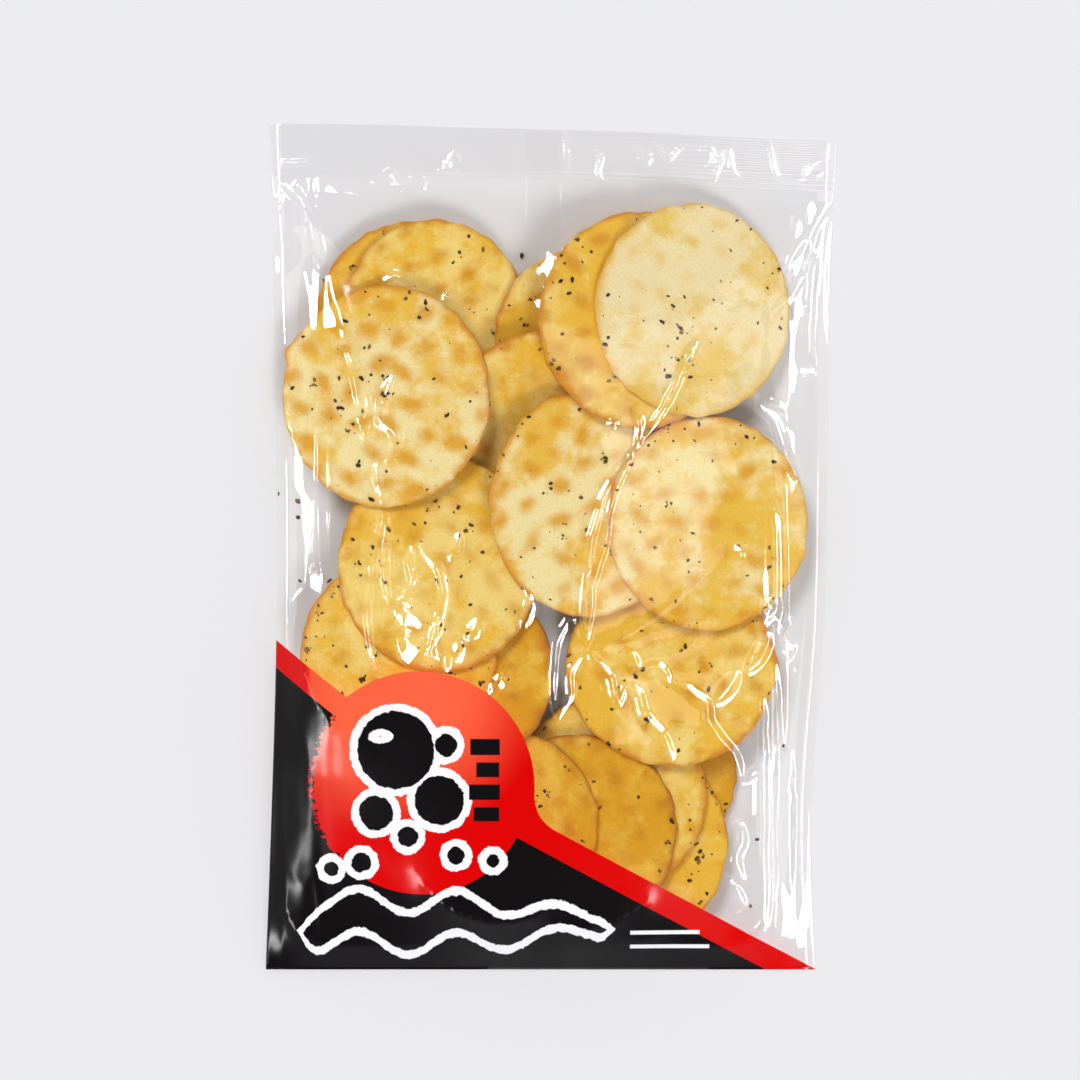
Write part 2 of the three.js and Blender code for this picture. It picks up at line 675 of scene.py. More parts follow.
@dataclass(frozen=True)
class ClearSheet:
    """Clear glossy plastic: what is behind it shows through, and its skin mirrors the lights.

    The skin mirrors less where it is seen aslant than real film does, so that the bright lamps
    don't hide the crackers from the side.
    """

    name: str
    tint: Colour
    shine: float
    roughness: float
    crinkle: float
    edge_shine: float = 0.2
    skin: Colour = (0.95, 0.91, 0.88)

    def relief(self, g: Graph) -> bpy.types.NodeSocket:
        """Normal of the sheet's fine crinkles."""
        return g.bump(g.noise(3.0, 3, 0.6), self.crinkle, 0.2)

    def surface(self, g: Graph, relief: bpy.types.NodeSocket) -> bpy.types.Node:
        """The see-through shader, for a graph and the normal of its fine relief.

        Args:
            g: The material's graph.
            relief: Normal of the fine relief.

        Returns:
            The shader.
        """
        layer = g.node("ShaderNodeLayerWeight", None, {"Blend": 0.5, "Normal": relief})
        aslant = Value(g, layer.outputs["Facing"])
        share = (1 - aslant) ** 3 * self.shine + aslant**5 * self.edge_shine
        clear = g.node("ShaderNodeBsdfTransparent", None, {"Color": self.tint})
        skin = g.principled(
            {"Base Color": self.skin, "Metallic": 1.0, "Roughness": self.roughness, "Normal": relief}
        )
        return g.mix_shaders(share, clear, skin)

    def make(self) -> bpy.types.Material:
        """Builds the material."""
        g = Graph.material(self.name)
        return g.finish(self.surface(g, self.relief(g)))


class Plastic(Enum):
    """The bag's clear plastics, from the stiffest to the thinnest."""

    TRAY = ClearSheet(
        name="tray_plastic",
        tint=(0.99, 0.99, 0.992),
        shine=0.0284,
        roughness=0.15,
        crinkle=0.1,
    )
    FIN = ClearSheet(
        name="fin_film",
        tint=(0.995, 0.994, 0.993),
        shine=0.0142,
        roughness=0.12,
        crinkle=0.05,
    )
    FILM = ClearSheet(
        name="clear_film",
        tint=(0.997, 0.994, 0.993),
        shine=0.08236,
        roughness=0.06,
        crinkle=0.08,
    )


@dataclass(frozen=True)
class CornerPrint:
    """Ink on the film's lower left corner: a black field under a red band, with a red disc on it.

    White-edged peppercorns, a rolling stroke, bars and rules stand where a maker's lettering would be.
    A circle has a centre and a radius. A bar has a centre, half its width and half its height.
    """

    sheet: ClearSheet = Plastic.FILM.value
    red: Colour = linear(218, 1, 1)
    # The second red is painted glow: a lighter orange-red that stands for lit crackers shining through the
    # ink.
    painted_glow_red: Colour = linear(252, 98, 64)
    black: Colour = linear(16, 13, 15)
    white: Colour = linear(244, 243, 246)
    disc: Circle = (-39.3, -71.2, 34.2)
    band_left: tuple[Point, Point] = ((-82.4, -28.2), (-61.5, -44.6))
    band_right: tuple[Point, Point] = ((-0.6, -83.6), (80.0, -127.6))
    band_drop: float = 8.3
    fillet: float = 9.0
    # Centre of the painted glow in the red ink.
    painted_glow_centre: Point = (-46.0, -43.0)
    corns: tuple[Circle, ...] = (
        (-46.5, -60.5, 11.6),
        (-33.5, -75.5, 7.4),
        (-52.5, -79.5, 5.2),
        (-31.5, -59.0, 3.4),
        (-43.0, -86.5, 3.0),
        (-66.0, -96.5, 2.2),
        (-57.0, -94.5, 3.0),
        (-28.5, -92.0, 2.6),
        (-17.5, -93.5, 2.1),
    )
    glint: Circle = (-51.0, -56.5, 2.6)
    bars: tuple[Bar, ...] = (
        (-19.8, -59.5, 4.4, 2.4),
        (-19.0, -66.3, 3.4, 2.2),
        (-20.0, -73.0, 4.6, 2.3),
        (-19.4, -79.6, 3.8, 2.1),
    )
    rules: tuple[Bar, ...] = ((34.0, -115.6, 10.4, 0.6), (35.5, -120.0, 11.9, 0.6))
    halo: float = 2.3
    wave_height: float = -112.6

    def make(self) -> bpy.types.Material:
        """Builds the material of the shown film: clear, with ink over part of it.

        Returns:
            The material.
        """
        g = Graph.material("printed_film")
        x, y, _ = g.axes()
        relief = self.sheet.relief(g)
        ink, red = self._fields(g, x, y)
        shapes, halos = self._motifs(g, x, y)
        # The red ink turns to a painted orange-red glow near the disc's top, standing for lit crackers
        # behind it.
        colour = g.blend(red, self.black, g.blend(self._painted_glow(g, x, y), self.red, self.painted_glow_red))
        colour = g.blend(self._edge(halos), colour, self.white)
        colour = g.blend(self._edge(shapes), colour, self.black)
        inked = g.principled(
            {"Base Color": colour, "Roughness": 0.2, "Specular IOR Level": 0.14, "Normal": relief}
        )
        return g.finish(g.mix_shaders(ink, self.sheet.surface(g, relief), inked))

    def _fields(self, g: Graph, x: Value, y: Value) -> tuple[Value, Value]:
        """Where there is ink, and where that ink is red.

        Args:
            g: The material's graph.
            x: Place across the bag.
            y: Place along the bag.

        Returns:
            Both as masks. The disc runs smoothly into the band on its right, and its left edge is torn.
        """
        cx, cy, radius = self.disc
        in_disc = radius - self._distance(x, y, (cx, cy))
        west = (x - (cx + 6)).ramp(0.4, -0.4)
        left, right = (self._above(x, y, line) for line in (self.band_left, self.band_right))
        over_band = left * west + right * (1 - west)
        corner = (1 - abs(in_disc + over_band) / self.fillet).most(0)
        joined = in_disc.most(0 - over_band) + corner * corner * (self.fillet / 4) * (1 - west)
        ink = self._edge(joined).most(self._edge(in_disc))
        torn = (g.noise(1.6, 3, 0.7) - 0.5) * 9 * (x - (cx - 12)).ramp(0.0, -16.0)
        red = self._edge(over_band + self.band_drop).most(self._edge(in_disc - 1.5 + torn))
        return ink, red

    def _painted_glow(self, g: Graph, x: Value, y: Value) -> Value:
        """Painted glow: how much lighter orange-red is painted into the red ink, standing for lit crackers
        shining through it, most near the disc's top.
        """
        near = self._distance(x, y, self.painted_glow_centre).ramp(46, 16) * x.ramp(-73.5, -71.5)
        return near * (0.85 + 0.3 * g.noise(22, 2, 0.5)).least(1)

    def _motifs(self, g: Graph, x: Value, y: Value) -> tuple[Value, Value]:
        """Distances inside the black shapes, and inside the white edge round them.

        Args:
            g: The material's graph.
            x: Place across the bag.
            y: Place along the bag.

        Returns:
            Both distances, which are positive inside.
        """
        rough = (g.noise(2.4, 3, 0.6) - 0.5) * 1.7
        inside = self._wave(x, y)
        for cx, cy, radius in self.corns:
            inside = inside.most(radius - self._distance(x, y, (cx, cy)))
        inside = inside + rough
        cx, cy, radius = self.glint
        dx, dy = x - cx, y - cy
        glint = radius - (dx * dx * 0.5 + dy * dy * 1.4).root() + rough
        inside = inside.least(0 - glint)
        halos = inside + self.halo
        for rule in self.rules:
            halos = halos.most(self._in_bar(x, y, rule))
        for bar in self.bars:
            inside = inside.most(self._in_bar(x, y, bar))
        return inside, halos

    def _wave(self, x: Value, y: Value) -> Value:
        """Distance inside one rolling stroke, blunt at the left and thin at the right.

        Args:
            x: Place across the bag.
            y: Place along the bag.

        Returns:
            The distance, which is positive inside.
        """
        crest = (x * 0.21 + 1.2).sine() * (3.6 - 1.6 * x.ramp(-40, 16))
        half = 4.4 * x.ramp(-78, -68) * (1 - 0.8 * x.ramp(-30, 20))
        half = half - 6 * x.ramp(14, 24) - 6 * x.ramp(-72, -82)
        return half - abs(y - self.wave_height - crest) * 0.85

    @staticmethod
    def _edge(inside: Value) -> Value:
        """A crisp mask from a distance in millimetres that is positive inside a shape."""
        return inside.ramp(-0.12, 0.12)

    @staticmethod
    def _distance(x: Value, y: Value, centre: Point) -> Value:
        """Distance from a point of the print."""
        dx, dy = x - centre[0], y - centre[1]
        return (dx * dx + dy * dy).root()

    @staticmethod
    def _above(x: Value, y: Value, line: tuple[Point, Point]) -> Value:
        """Height above a slanted line, measured straight up.

        Args:
            x: Place across the bag.
            y: Place along the bag.
            line: Two points of the line.

        Returns:
            The height.
        """
        (x0, y0), (x1, y1) = line
        slope = (y1 - y0) / (x1 - x0)
        return y - (x - x0) * slope - y0

    @staticmethod
    def _in_bar(x: Value, y: Value, bar: Bar) -> Value:
        """Distance inside a bar."""
        cx, cy, half, tall = bar
        return (half - abs(x - cx)).least(tall - abs(y - cy))


@dataclass(frozen=True)
class StudioPaper:
    """The pale paper that the bag lies on."""

    shade: Colour = (0.76, 0.76, 0.775)

    def make(self) -> bpy.types.Material:
        """Builds the material.

        Returns:
            The material.
        """
        g = Graph.material("studio_paper")
        fibre = g.noise(0.8, 2)
        tone = g.blend(fibre, self.shade, tuple(c * 1.012 for c in self.shade))
        return g.finish(g.principled({"Base Color": tone, "Roughness": 0.9, "Specular IOR Level": 0.1}))


# ---------------------------------------------------------------- the bag's outline


@dataclass(frozen=True)
class Outline:
    """The bag's edges seen from above, and the height of its folds."""

    seal_length: float = 14.5
    seal_slant: float = 4.6
    cut_wave: float = 0.6
    stations: tuple[float, ...] = (0.0, 0.17, 0.42, 0.76, 1.0)
    left_reach: tuple[float, ...] = (86.2, 84.4, 82.6, 83.4, 85.3)
    right_reach: tuple[float, ...] = (79.8, 78.2, 82.2, 83.6, 86.5)
    rest_width: float = 118.0
    side_height: float = 9.0
    seal_height: float = 8.5
    seal_droop: float = 3.0
    rest_head: float = 84.0
    rest_foot: float = -112.0
    foot_height: float = 1.2
    floor_gap: float = 0.45

    def reach(self, along: Array) -> tuple[Array, Array]:
        """Distance of the left and the right edge from the centre line.

        Args:
            along: From 0 at the foot to 1 at the head.

        Returns:
            The left and the right distances.
        """
        left = smooth_line(along, list(self.stations), list(self.left_reach))
        right = smooth_line(along, list(self.stations), list(self.right_reach))
        return left, right

    def cut_edge(self, across: Array) -> Array:
        """The seal's cut edge, from 0 at the left to 1 at the right."""
        wave = self.cut_wave * (np.cos(across * 9.5) - 1) * 0.5
        return HEAD - self.seal_slant * ease((across - 0.12) / 0.93) + wave

    def underside(self, x: Array, y: Array) -> Array:
        """Height of the lower film: flat where it rests, rising to the folds and the seal.

        Args:
            x: Places across.
            y: Places along.

        Returns:
            The height at each.
        """
        along = np.clip((y - FOOT) / (HEAD - FOOT), 0, 1)
        left, right = self.reach(along)
        edge = np.where(x < 0, left, right)
        half = self.rest_width / 2
        to_side = np.clip((np.abs(x) - half) / (edge - half), 0, 1)
        seal_foot = HEAD - self.seal_length
        to_seal = np.clip((y - self.rest_head) / (seal_foot - self.rest_head), 0, 1)
        to_foot = np.clip((self.rest_foot - y) / (self.rest_foot - FOOT), 0, 1)
        across = np.clip((x + left) / (left + right), 0, 1)
        side = self.side_height * np.sin(np.pi * along) ** 0.6 * to_side**1.8 * (1 - to_seal)
        seal = (self.seal_height - self.seal_droop * (2 * across - 1) ** 2) * to_seal**1.7
        foot = self.foot_height * to_foot**2
        return self.floor_gap + np.sqrt(side**2 + seal**2 + foot**2)


# ---------------------------------------------------------------- the tray


@dataclass
class Tray:
    """A shallow clear tray with ribbed walls, open upwards, behind the lower crackers."""

    left: float = -80.3
    right: float = 67.4
    head: float = -9.2
    foot: float = -120.5
    flange: float = 3.6
    wall: float = 6.4
    depth: float = 7.0
    corner: float = 12.5
    rib_pitch: float = 2.8
    rib_depth: float = 0.22
    gauge: float = 0.3
    base_height: float = 0.9

    def profile(self) -> list[tuple[float, float, float]]:
        """Steps down the wall: inset from the outer edge, height, and how deep the ribs are.

        Returns:
            The steps, from the rim to the base.
        """
        base, rim = self.base_height, self.base_height + self.depth
        inner = self.flange + self.wall
        return [
            (0.0, rim - 0.6, 0.0),
            (0.3, rim, 0.0),
            (self.flange - 0.4, rim, 0.0),
            (self.flange + 0.3, rim - 0.5, 0.3),
            (self.flange + 0.25 * self.wall, rim - 0.25 * self.depth, 1.0),
            (self.flange + 0.5 * self.wall, rim - 0.5 * self.depth, 1.0),
            (self.flange + 0.75 * self.wall, rim - 0.75 * self.depth, 1.0),
            (inner - 0.6, base + 0.6, 0.5),
            (inner + 0.5, base, 0.0),
        ]

    def add_to(self, heights: HeightMap) -> None:
        """Puts the tray's surface on the height map.

        Args:
            heights: What is in the bag so far.
        """
        inset = self._inset(heights.x, heights.y)
        steps = np.array(self.profile())
        surface = np.interp(inset, steps[:, 0], steps[:, 1])
        heights.raise_to(surface, inset > 0)

    def _inset(self, x: Array, y: Array) -> Array:
        """How far inside the tray's outer edge each place lies.

        Args:
            x: Places across.
            y: Places along.

        Returns:
            The distances, which are negative outside.
        """
        cx, cy = (self.left + self.right) / 2, (self.head + self.foot) / 2
        qx = np.abs(x - cx) - (self.right - self.left) / 2 + self.corner
        qy = np.abs(y - cy) - (self.head - self.foot) / 2 + self.corner
        outside = np.hypot(np.maximum(qx, 0), np.maximum(qy, 0)) + np.minimum(np.maximum(qx, qy), 0)
        return self.corner - outside

    def build(self, material: bpy.types.Material) -> bpy.types.Object:
        """Rolls a grid round the tray's edge, closes the base and gives the wall its gauge.

        Args:
            material: The tray's plastic.

        Returns:
            The tray.
        """
        steps = self.profile()
        width, length = self.right - self.left, self.head - self.foot
        around = 2 * (width + length) - (8 - 2 * math.pi) * self.corner
        ribs = round(around / self.rib_pitch)
        columns, rows = ribs * 5, len(steps) - 1
        bm = bmesh.new()
        bmesh.ops.create_grid(bm, x_segments=columns, y_segments=rows, size=0.5)
        for vert in bm.verts:
            share = vert.co.x + 0.5
            inset, height, ribbed = steps[round((vert.co.y + 0.5) * rows)]
            place = self._rim_point(share * around, inset)
            if not self._in_corner(place):
                wave = ribbed * self.rib_depth * math.cos(share * ribs * math.tau)
                place = self._rim_point(share * around, inset + wave)
            vert.co = Vector((*place, height))
        bmesh.ops.remove_doubles(bm, verts=bm.verts, dist=0.001)
        edges = [e for e in bm.edges if e.is_boundary and e.verts[0].co.z < self.base_height + 0.1]
        bmesh.ops.holes_fill(bm, edges=edges)
        bmesh.ops.recalc_face_normals(bm, faces=bm.faces)
        bmesh.ops.solidify(bm, geom=bm.faces, thickness=self.gauge)
        bmesh.ops.recalc_face_normals(bm, faces=bm.faces)
        bmesh.ops.triangulate(bm, faces=[f for f in bm.faces if len(f.verts) > 4])
        return place_piece("inner_tray", scaled_mesh("inner_tray", bm), material, clear=True)

    def _in_corner(self, place: Point) -> bool:
        """Whether a place lies in one of the rounded corners, where the walls have no ribs.

        Args:
            place: A place, across and along.

        Returns:
            True in a corner.
        """
        cx, cy = (self.left + self.right) / 2, (self.head + self.foot) / 2
        far_x = abs(place[0] - cx) > (self.right - self.left) / 2 - self.corner - 0.5
        return far_x and abs(place[1] - cy) > (self.head - self.foot) / 2 - self.corner - 0.5

    def _rim_point(self, travelled: float, inset: float) -> Point:
        """A place on the rounded rectangle that lies inset from the tray's outer edge.

        Args:
            travelled: Distance round the outer edge, from the middle of the right side.
            inset: Distance inside that edge.

        Returns:
            Where that is, across and along.
        """
        cx, cy = (self.left + self.right) / 2, (self.head + self.foot) / 2
        half_x = (self.right - self.left) / 2 - self.corner
        half_y = (self.head - self.foot) / 2 - self.corner
        turn = self.corner * math.pi / 2
        left_over = travelled
        for side, (run, angle, px, py) in enumerate(
            (
                (2 * half_y, 0.0, half_x, -half_y),
                (2 * half_x, 0.5 * math.pi, half_x, half_y),
                (2 * half_y, math.pi, -half_x, half_y),
                (2 * half_x, 1.5 * math.pi, -half_x, -half_y),
            )
        ):
            radius = self.corner - inset
            if left_over <= run or side == 3 and left_over <= run + 1e-6:
                nx, ny = math.cos(angle), math.sin(angle)
                return cx + px + nx * radius - ny * left_over, cy + py + ny * radius + nx * left_over
            left_over -= run
            ex, ey = px - math.sin(angle) * run, py + math.cos(angle) * run
            if left_over <= turn or side == 3:
                bend = angle + min(left_over / self.corner, math.pi / 2)
                return cx + ex + math.cos(bend) * radius, cy + ey + math.sin(bend) * radius
            left_over -= turn
        return cx + half_x + self.corner - inset, cy - half_y


# ---------------------------------------------------------------- the crackers


@dataclass
class Cracker:
    """One round cracker: where it lies, how wide it is each way, and how it was baked."""

    x: float
    y: float
    half_x: float
    half_y: float
    bake: Bake
    spots: float = 0.6
    nub: tuple[float, float] | None = None
    thickness: float = 2.5
    spacing: float = 2.8
    steepest: float = 0.3
    fineness: int = 6
    waviness: float = 0.45
    nub_width: float = 3.0
    spot_pitch: Point = (9.9, 8.8)
    spot_wander: float = 0.9
    spot_lean: float = 0.5
    rest: tuple[float, float, float] = (0.0, 0.0, 0.0)

    def settle(self, number: int, heights: HeightMap) -> None:
        """Lowers the cracker onto what lies under it, and adds it to the map.

        Args:
            number: The cracker's number in the pile.
            heights: What is in the bag so far.
        """
        dx, dy = heights.x - self.x, heights.y - self.y
        inside = (dx / self.half_x) ** 2 + (dy / self.half_y) ** 2 <= 1
        bx, by, bed = dx[inside], dy[inside], heights.top[inside]

        def lift(slope_x: float, slope_y: float) -> float:
            """Height of the centre at which a tilt clears the bed."""
            return float((bed - slope_x * bx - slope_y * by).max())

        def best_y(slope_x: float) -> float:
            """Best slope along the bag for a slope across it."""
            return lowest_point(lambda s: lift(slope_x, s), -self.steepest, self.steepest)

        slope_x = lowest_point(lambda s: lift(s, best_y(s)), -self.steepest, self.steepest)
        slope_y = best_y(slope_x)
        self.rest = (lift(slope_x, slope_y), slope_x, slope_y)
        top = self.rest[0] + slope_x * dx + slope_y * dy + self.spacing
        heights.raise_to(top, inside, number)

    def build(self, number: int, material: bpy.types.Material) -> bpy.types.Object:
        """Flattens a ball into the cracker, with its wavy outline, puffs and toasted spots.

        Args:
            number: The cracker's number in the pile.
            material: Its crust.

        Returns:
            The cracker.
        """
        bm = bmesh.new()
        bmesh.ops.create_icosphere(bm, subdivisions=self.fineness, radius=1.0)
        mesh = mesh_from(f"cracker_{number + 1:02d}", bm)
        ball = points_of(mesh)
        seed = number + 1.0
        angle = np.arctan2(ball[:, 1], ball[:, 0])
        reach = self._outline(angle, seed)
        radius, side = self._flatten(ball, reach)
        x, y = radius * np.cos(angle), radius * np.sin(angle)
        toast = self._toast(x, y, seed)
        z = self._relief(x, y, side, ease((reach - radius) / 4), toast, seed)
        height, slope_x, slope_y = self.rest
        place = np.column_stack(
            (
                self.x + x - slope_x * z,
                self.y + y - slope_y * z,
                height + self.spacing / 2 + slope_x * x + slope_y * y + z,
            )
        )
        set_points(mesh, place)
        set_attribute(mesh, "toast", toast)
        gold = 0.5 + 0.34 * lumps(x, y, 19, seed + 5) + 0.2 * lumps(x, y, 8, seed + 9)
        set_attribute(mesh, "gold", gold)
        glow = 0.6 * ease((radius - reach + 4.8) / 4.0) + 0.55 * ease((radius - reach + 1.5) / 1.2)
        uneven = 0.8 + 0.3 * np.cos(angle * 2 + seed) * np.sin(angle * 3 - seed)
        set_attribute(mesh, "rim", glow * uneven)
        return place_piece(mesh.name, mesh, material)

    def _flatten(self, ball: Array, reach: Array) -> tuple[Array, Array]:
        """Rolls a ball's points out over a flat disc with a rounded edge.

        Args:
            ball: Points of a ball of radius 1.
            reach: Distance of the disc's edge from its centre, in each point's direction.

        Returns:
            Each point's distance from the centre, and its side: 1 on top, -1 below, less at the edge.
        """
        half = self.thickness / 2
        share = np.arctan2(np.hypot(ball[:, 0], ball[:, 1]), np.abs(ball[:, 2])) / (math.pi / 2)
        travelled = share * (reach - half + half * math.pi / 2)
        bend = np.clip((travelled - (reach - half)) / half, 0, math.pi / 2)
        radius = np.minimum(travelled, reach - half) + half * np.sin(bend)
        return radius, np.sign(ball[:, 2]) * np.cos(bend)

    def _relief(self, x: Array, y: Array, side: Array, inner: Array, toast: Array, seed: float) -> Array:
        """Height of the cracker's surface over its middle plane.

        Args:
            x: Places across.
            y: Places along.
            side: 1 on top, -1 underneath, less round the edge.
            inner: 0 at the edge to 1 inside.
            toast: How browned each place is, where it stands up a little.
            seed: Number that picks the cracker's pattern.

        Returns:
            The height, with swells, puffs, fine grain and a slight saddle.
        """
        puffs = 0.46 * lumps(x, y, 11, seed) + 0.26 * lumps(x, y, 5.5, seed + 40)
        fine = 0.05 * lumps(x, y, 2.2, seed + 80)
        z = side * (self.thickness / 2) * (1 + 0.12 * lumps(x, y, 14, seed + 20) * inner)
        z += (puffs * 0.55 + fine * side + 0.22 * toast * side) * (0.35 + 0.65 * inner)
        return z + 0.32 * ((x / self.half_x) ** 2 - (y / self.half_y) ** 2) * math.cos(seed * 2.4)

    def _outline(self, angle: Array, seed: float) -> Array:
        """Distance of the wavy edge from the centre, all the way round.

        Args:
            angle: Directions from the centre.
            seed: Number that picks the pattern.

        Returns:
            The distance in each direction.
        """
        ellipse = 1 / np.hypot(np.cos(angle) / self.half_x, np.sin(angle) / self.half_y)
        phases = np.random.default_rng(int(seed) + 300).uniform(0, math.tau, 40)
        wave = sum(0.3 / k**0.42 * np.sin(k * angle + phases[k]) for k in range(3, 38))
        bumps = np.zeros_like(angle)
        if self.nub is not None:
            at, size = self.nub
            off = (angle - math.radians(at) + math.pi) % math.tau - math.pi
            bumps = size * np.exp(-((off * self.half_x / self.nub_width) ** 2))
        return ellipse + self.waviness * wave + bumps

    def _toast(self, x: Array, y: Array, seed: float) -> Array:
        """Soft browned spots in a rough lattice, where the puffs touched the grill.

        Args:
            x: Places across.
            y: Places along.
            seed: Number that picks the pattern.

        Returns:
            How browned each place is, from 0 to 1.
        """
        rng = np.random.default_rng(int(seed) + 100)
        turn = rng.uniform(0, math.pi)
        clear = np.ones_like(x)
        for row in range(-3, 4):
            for column in range(-3, 4):
                u = self.spot_pitch[0] * (column + 0.5 * (row % 2)) + rng.normal(0, self.spot_wander)
                v = self.spot_pitch[1] * row + rng.normal(0, self.spot_wander)
                strength = self.spots * rng.uniform(0.6, 1.15) * (rng.random() < 0.94)
                long, wide = rng.uniform(3.0, 4.3), rng.uniform(2.2, 3.0)
                lean = turn + rng.normal(0, self.spot_lean)
                cx = u * math.cos(turn) - v * math.sin(turn)
                cy = u * math.sin(turn) + v * math.cos(turn)
                px, py = x - cx, y - cy
                a = (px * math.cos(lean) + py * math.sin(lean)) / long
                b = (py * math.cos(lean) - px * math.sin(lean)) / wide
                clear *= 1 - np.clip(strength, 0, 0.98) * np.exp(-(a * a + b * b))
        return 1 - clear


@dataclass
class Pile:
    """All the crackers, from the bottom of the pile to the top."""

    crackers: list[Cracker] = field(
        default_factory=lambda: [
            Cracker(-42.0, -87.0, 28.8, 28.8, Bake.DEEP),
            Cracker(-48.0, -65.4, 28.6, 29.4, Bake.DEEP),
            Cracker(26.6, -68.4, 29.1, 29.1, Bake.DEEP, 0.5),
            Cracker(24.2, -89.4, 28.8, 29.4, Bake.GOLDEN, 0.35),
            Cracker(17.6, -74.4, 29.1, 30.0, Bake.GOLDEN, 0.6),
            Cracker(8.3, -85.5, 29.4, 29.4, Bake.DEEP, 0.5),
            Cracker(-15.4, -83.7, 29.4, 29.4, Bake.DEEP, 0.5),
            Cracker(-29.0, -37.5, 29.4, 30.0, Bake.DEEP, 0.7),
            Cracker(-45.7, -31.5, 29.4, 29.4, Bake.GOLDEN, 0.5),
            Cracker(-41.8, 68.7, 29.1, 29.4, Bake.GOLDEN, 0.5),
            Cracker(-35.2, 68.7, 27.9, 29.7, Bake.GOLDEN, 0.6),
            Cracker(11.8, 61.5, 29.1, 29.1, Bake.GOLDEN, 0.6),
            Cracker(-1.6, 35.4, 29.4, 29.4, Bake.GOLDEN, 0.6),
            Cracker(-33.7, -5.1, 30.3, 32.4, Bake.GOLDEN, 0.5),
            Cracker(35.8, -35.7, 31.5, 30.0, Bake.GOLDEN, 0.7, (-2, 1.6)),
            Cracker(10.9, 12.9, 29.4, 33.9, Bake.LIGHT, 0.9),
            Cracker(26.8, 68.1, 30.6, 32.7, Bake.GOLDEN, 0.8),
            Cracker(-49.6, 45.3, 31.2, 33.3, Bake.LIGHT, 1.0, (156, 2.0)),
            Cracker(46.9, 7.2, 30.0, 32.1, Bake.LIGHT, 0.8),
            Cracker(42.4, 71.1, 29.4, 32.1, Bake.PALE, 0.4),
        ]
    )

    def settle(self, heights: HeightMap) -> None:
        """Drops the crackers one by one.

        Args:
            heights: What is in the bag so far.
        """
        for number, cracker in enumerate(self.crackers):
            cracker.settle(number, heights)
            log.info("cracker %d rests at %.1f, %.2f, %.2f", number + 1, *cracker.rest)

    def build(self) -> None:
        """Builds every cracker with its own crust."""
        crusts = {bake: bake.value.make() for bake in Bake}
        for number, cracker in enumerate(self.crackers):
            cracker.build(number, crusts[cracker.bake])


@dataclass
class PepperGrains:
    """Cracked peppercorns stuck to the crackers, with a few loose in the bag."""

    each: int = 52
    points_each: int = 42
    near_rim: float = 0.25
    smallest: float = 0.2
    largest: float = 0.66
    sunk: float = 0.12
    alone: float = 0.8
    clump_spread: float = 0.8
    seed: int = 11
    loose: tuple[Point, ...] = (
        (-82.0, 16.0),
        (-76.4, 13.8),
        (-73.5, 14.4),
        (-76.3, 9.0),
        (-69.4, -7.8),
        (-75.8, -10.2),
        (-66.7, -10.2),
        (60.1, -108.3),
        (44.9, -106.5),
        (-9.0, 88.0),
        (70.0, -60.0),
        (62.0, -88.0),
    )

    def build(self, pile: Pile, heights: HeightMap, material: bpy.types.Material) -> bpy.types.Object:
        """Scatters the grains over what shows of each cracker, and joins them into one mesh.

        Args:
            pile: The crackers.
            heights: Height of what is in the bag.
            material: The grains' skin.

        Returns:
            The grains.
        """
        rng = np.random.default_rng(self.seed)
        bm = bmesh.new()
        for number, cracker in enumerate(pile.crackers):
            spread = rng.uniform(-0.35, 0.35, 2)
            for _ in range(round(self.each * rng.uniform(0.75, 1.35))):
                x, y = self._fall(cracker, spread, rng)
                clump = 1 if rng.random() < self.alone else rng.integers(2, 5)
                spray = self.clump_spread * (clump > 1)
                for _ in range(clump):
                    size = self.smallest + (self.largest - self.smallest) * rng.random() ** 1.9
                    px, py = x + rng.normal(0, spray), y + rng.normal(0, spray)
                    if heights.owner_at(px, py) == number:
                        self._add_grain(bm, px, py, heights, size, rng)
        for x, y in self.loose:
            self._add_grain(bm, x, y, heights, rng.uniform(0.4, 0.65), rng)
        mesh = scaled_mesh("pepper_grains", bm)
        grain = np.arange(len(mesh.vertices)) // self.points_each
        set_attribute(mesh, "shade", np.modf(np.abs(np.sin(grain * 91.7)) * 437.5)[0])
        return place_piece("pepper_grains", mesh, material)

    def _fall(self, cracker: Cracker, spread: Array, rng: np.random.Generator) -> Point:
        """A place where a grain lands: anywhere, thicker to one side, or caught at the rim.

        Args:
            cracker: The cracker that it lands on.
            spread: The side where grains lie thicker, as a share of the cracker's size.
            rng: The draws.

        Returns:
            The place, across and along.
        """
        angle = rng.uniform(0, math.tau)
        if rng.random() < self.near_rim:
            reach = rng.uniform(0.9, 0.985)
        else:
            reach = math.sqrt(rng.random()) * 0.93
        u, v = reach * math.cos(angle), reach * math.sin(angle)
        if reach < 0.9 and rng.random() < 0.35:
            u, v = 0.45 * u + spread[0], 0.45 * v + spread[1]
        return cracker.x + cracker.half_x * u, cracker.y + cracker.half_y * v

    def _add_grain(
        self,
        bm: bmesh.types.BMesh,
        x: float,
        y: float,
        heights: HeightMap,
        size: float,
        rng: np.random.Generator,
    ) -> None:
        """Adds one angular grain that sits a little into the surface under it.

        Args:
            bm: The grains so far.
            x: Place across.
            y: Place along.
            heights: Height of what is in the bag.
            size: Half the grain's width.
            rng: The draws.
        """
        z = float(heights.at(np.array(x), np.array(y))) - self.sunk
        turn = Matrix.Rotation(rng.uniform(0, math.tau), 4, "Z")
        tip = Matrix.Rotation(rng.uniform(-0.6, 0.6), 4, "X")
        long, wide = size * rng.uniform(0.9, 1.7), size * rng.uniform(0.7, 1.0)
        stretch = Matrix.Diagonal((long, wide, size * 0.7, 1))
        place = Matrix.Translation((x, y, z)) @ (turn @ tip) @ stretch
        made = bmesh.ops.create_icosphere(bm, subdivisions=2, radius=1.0, matrix=place)
        for vert in made["verts"]:
            vert.co += Vector(rng.normal(0, size * 0.2, 3))


# ---------------------------------------------------------------- the film


class Fold(Enum):
    """Cross-sections of a crease in the film."""

    RIDGE = "ridge"
    KINK = "kink"
    TENT = "tent"


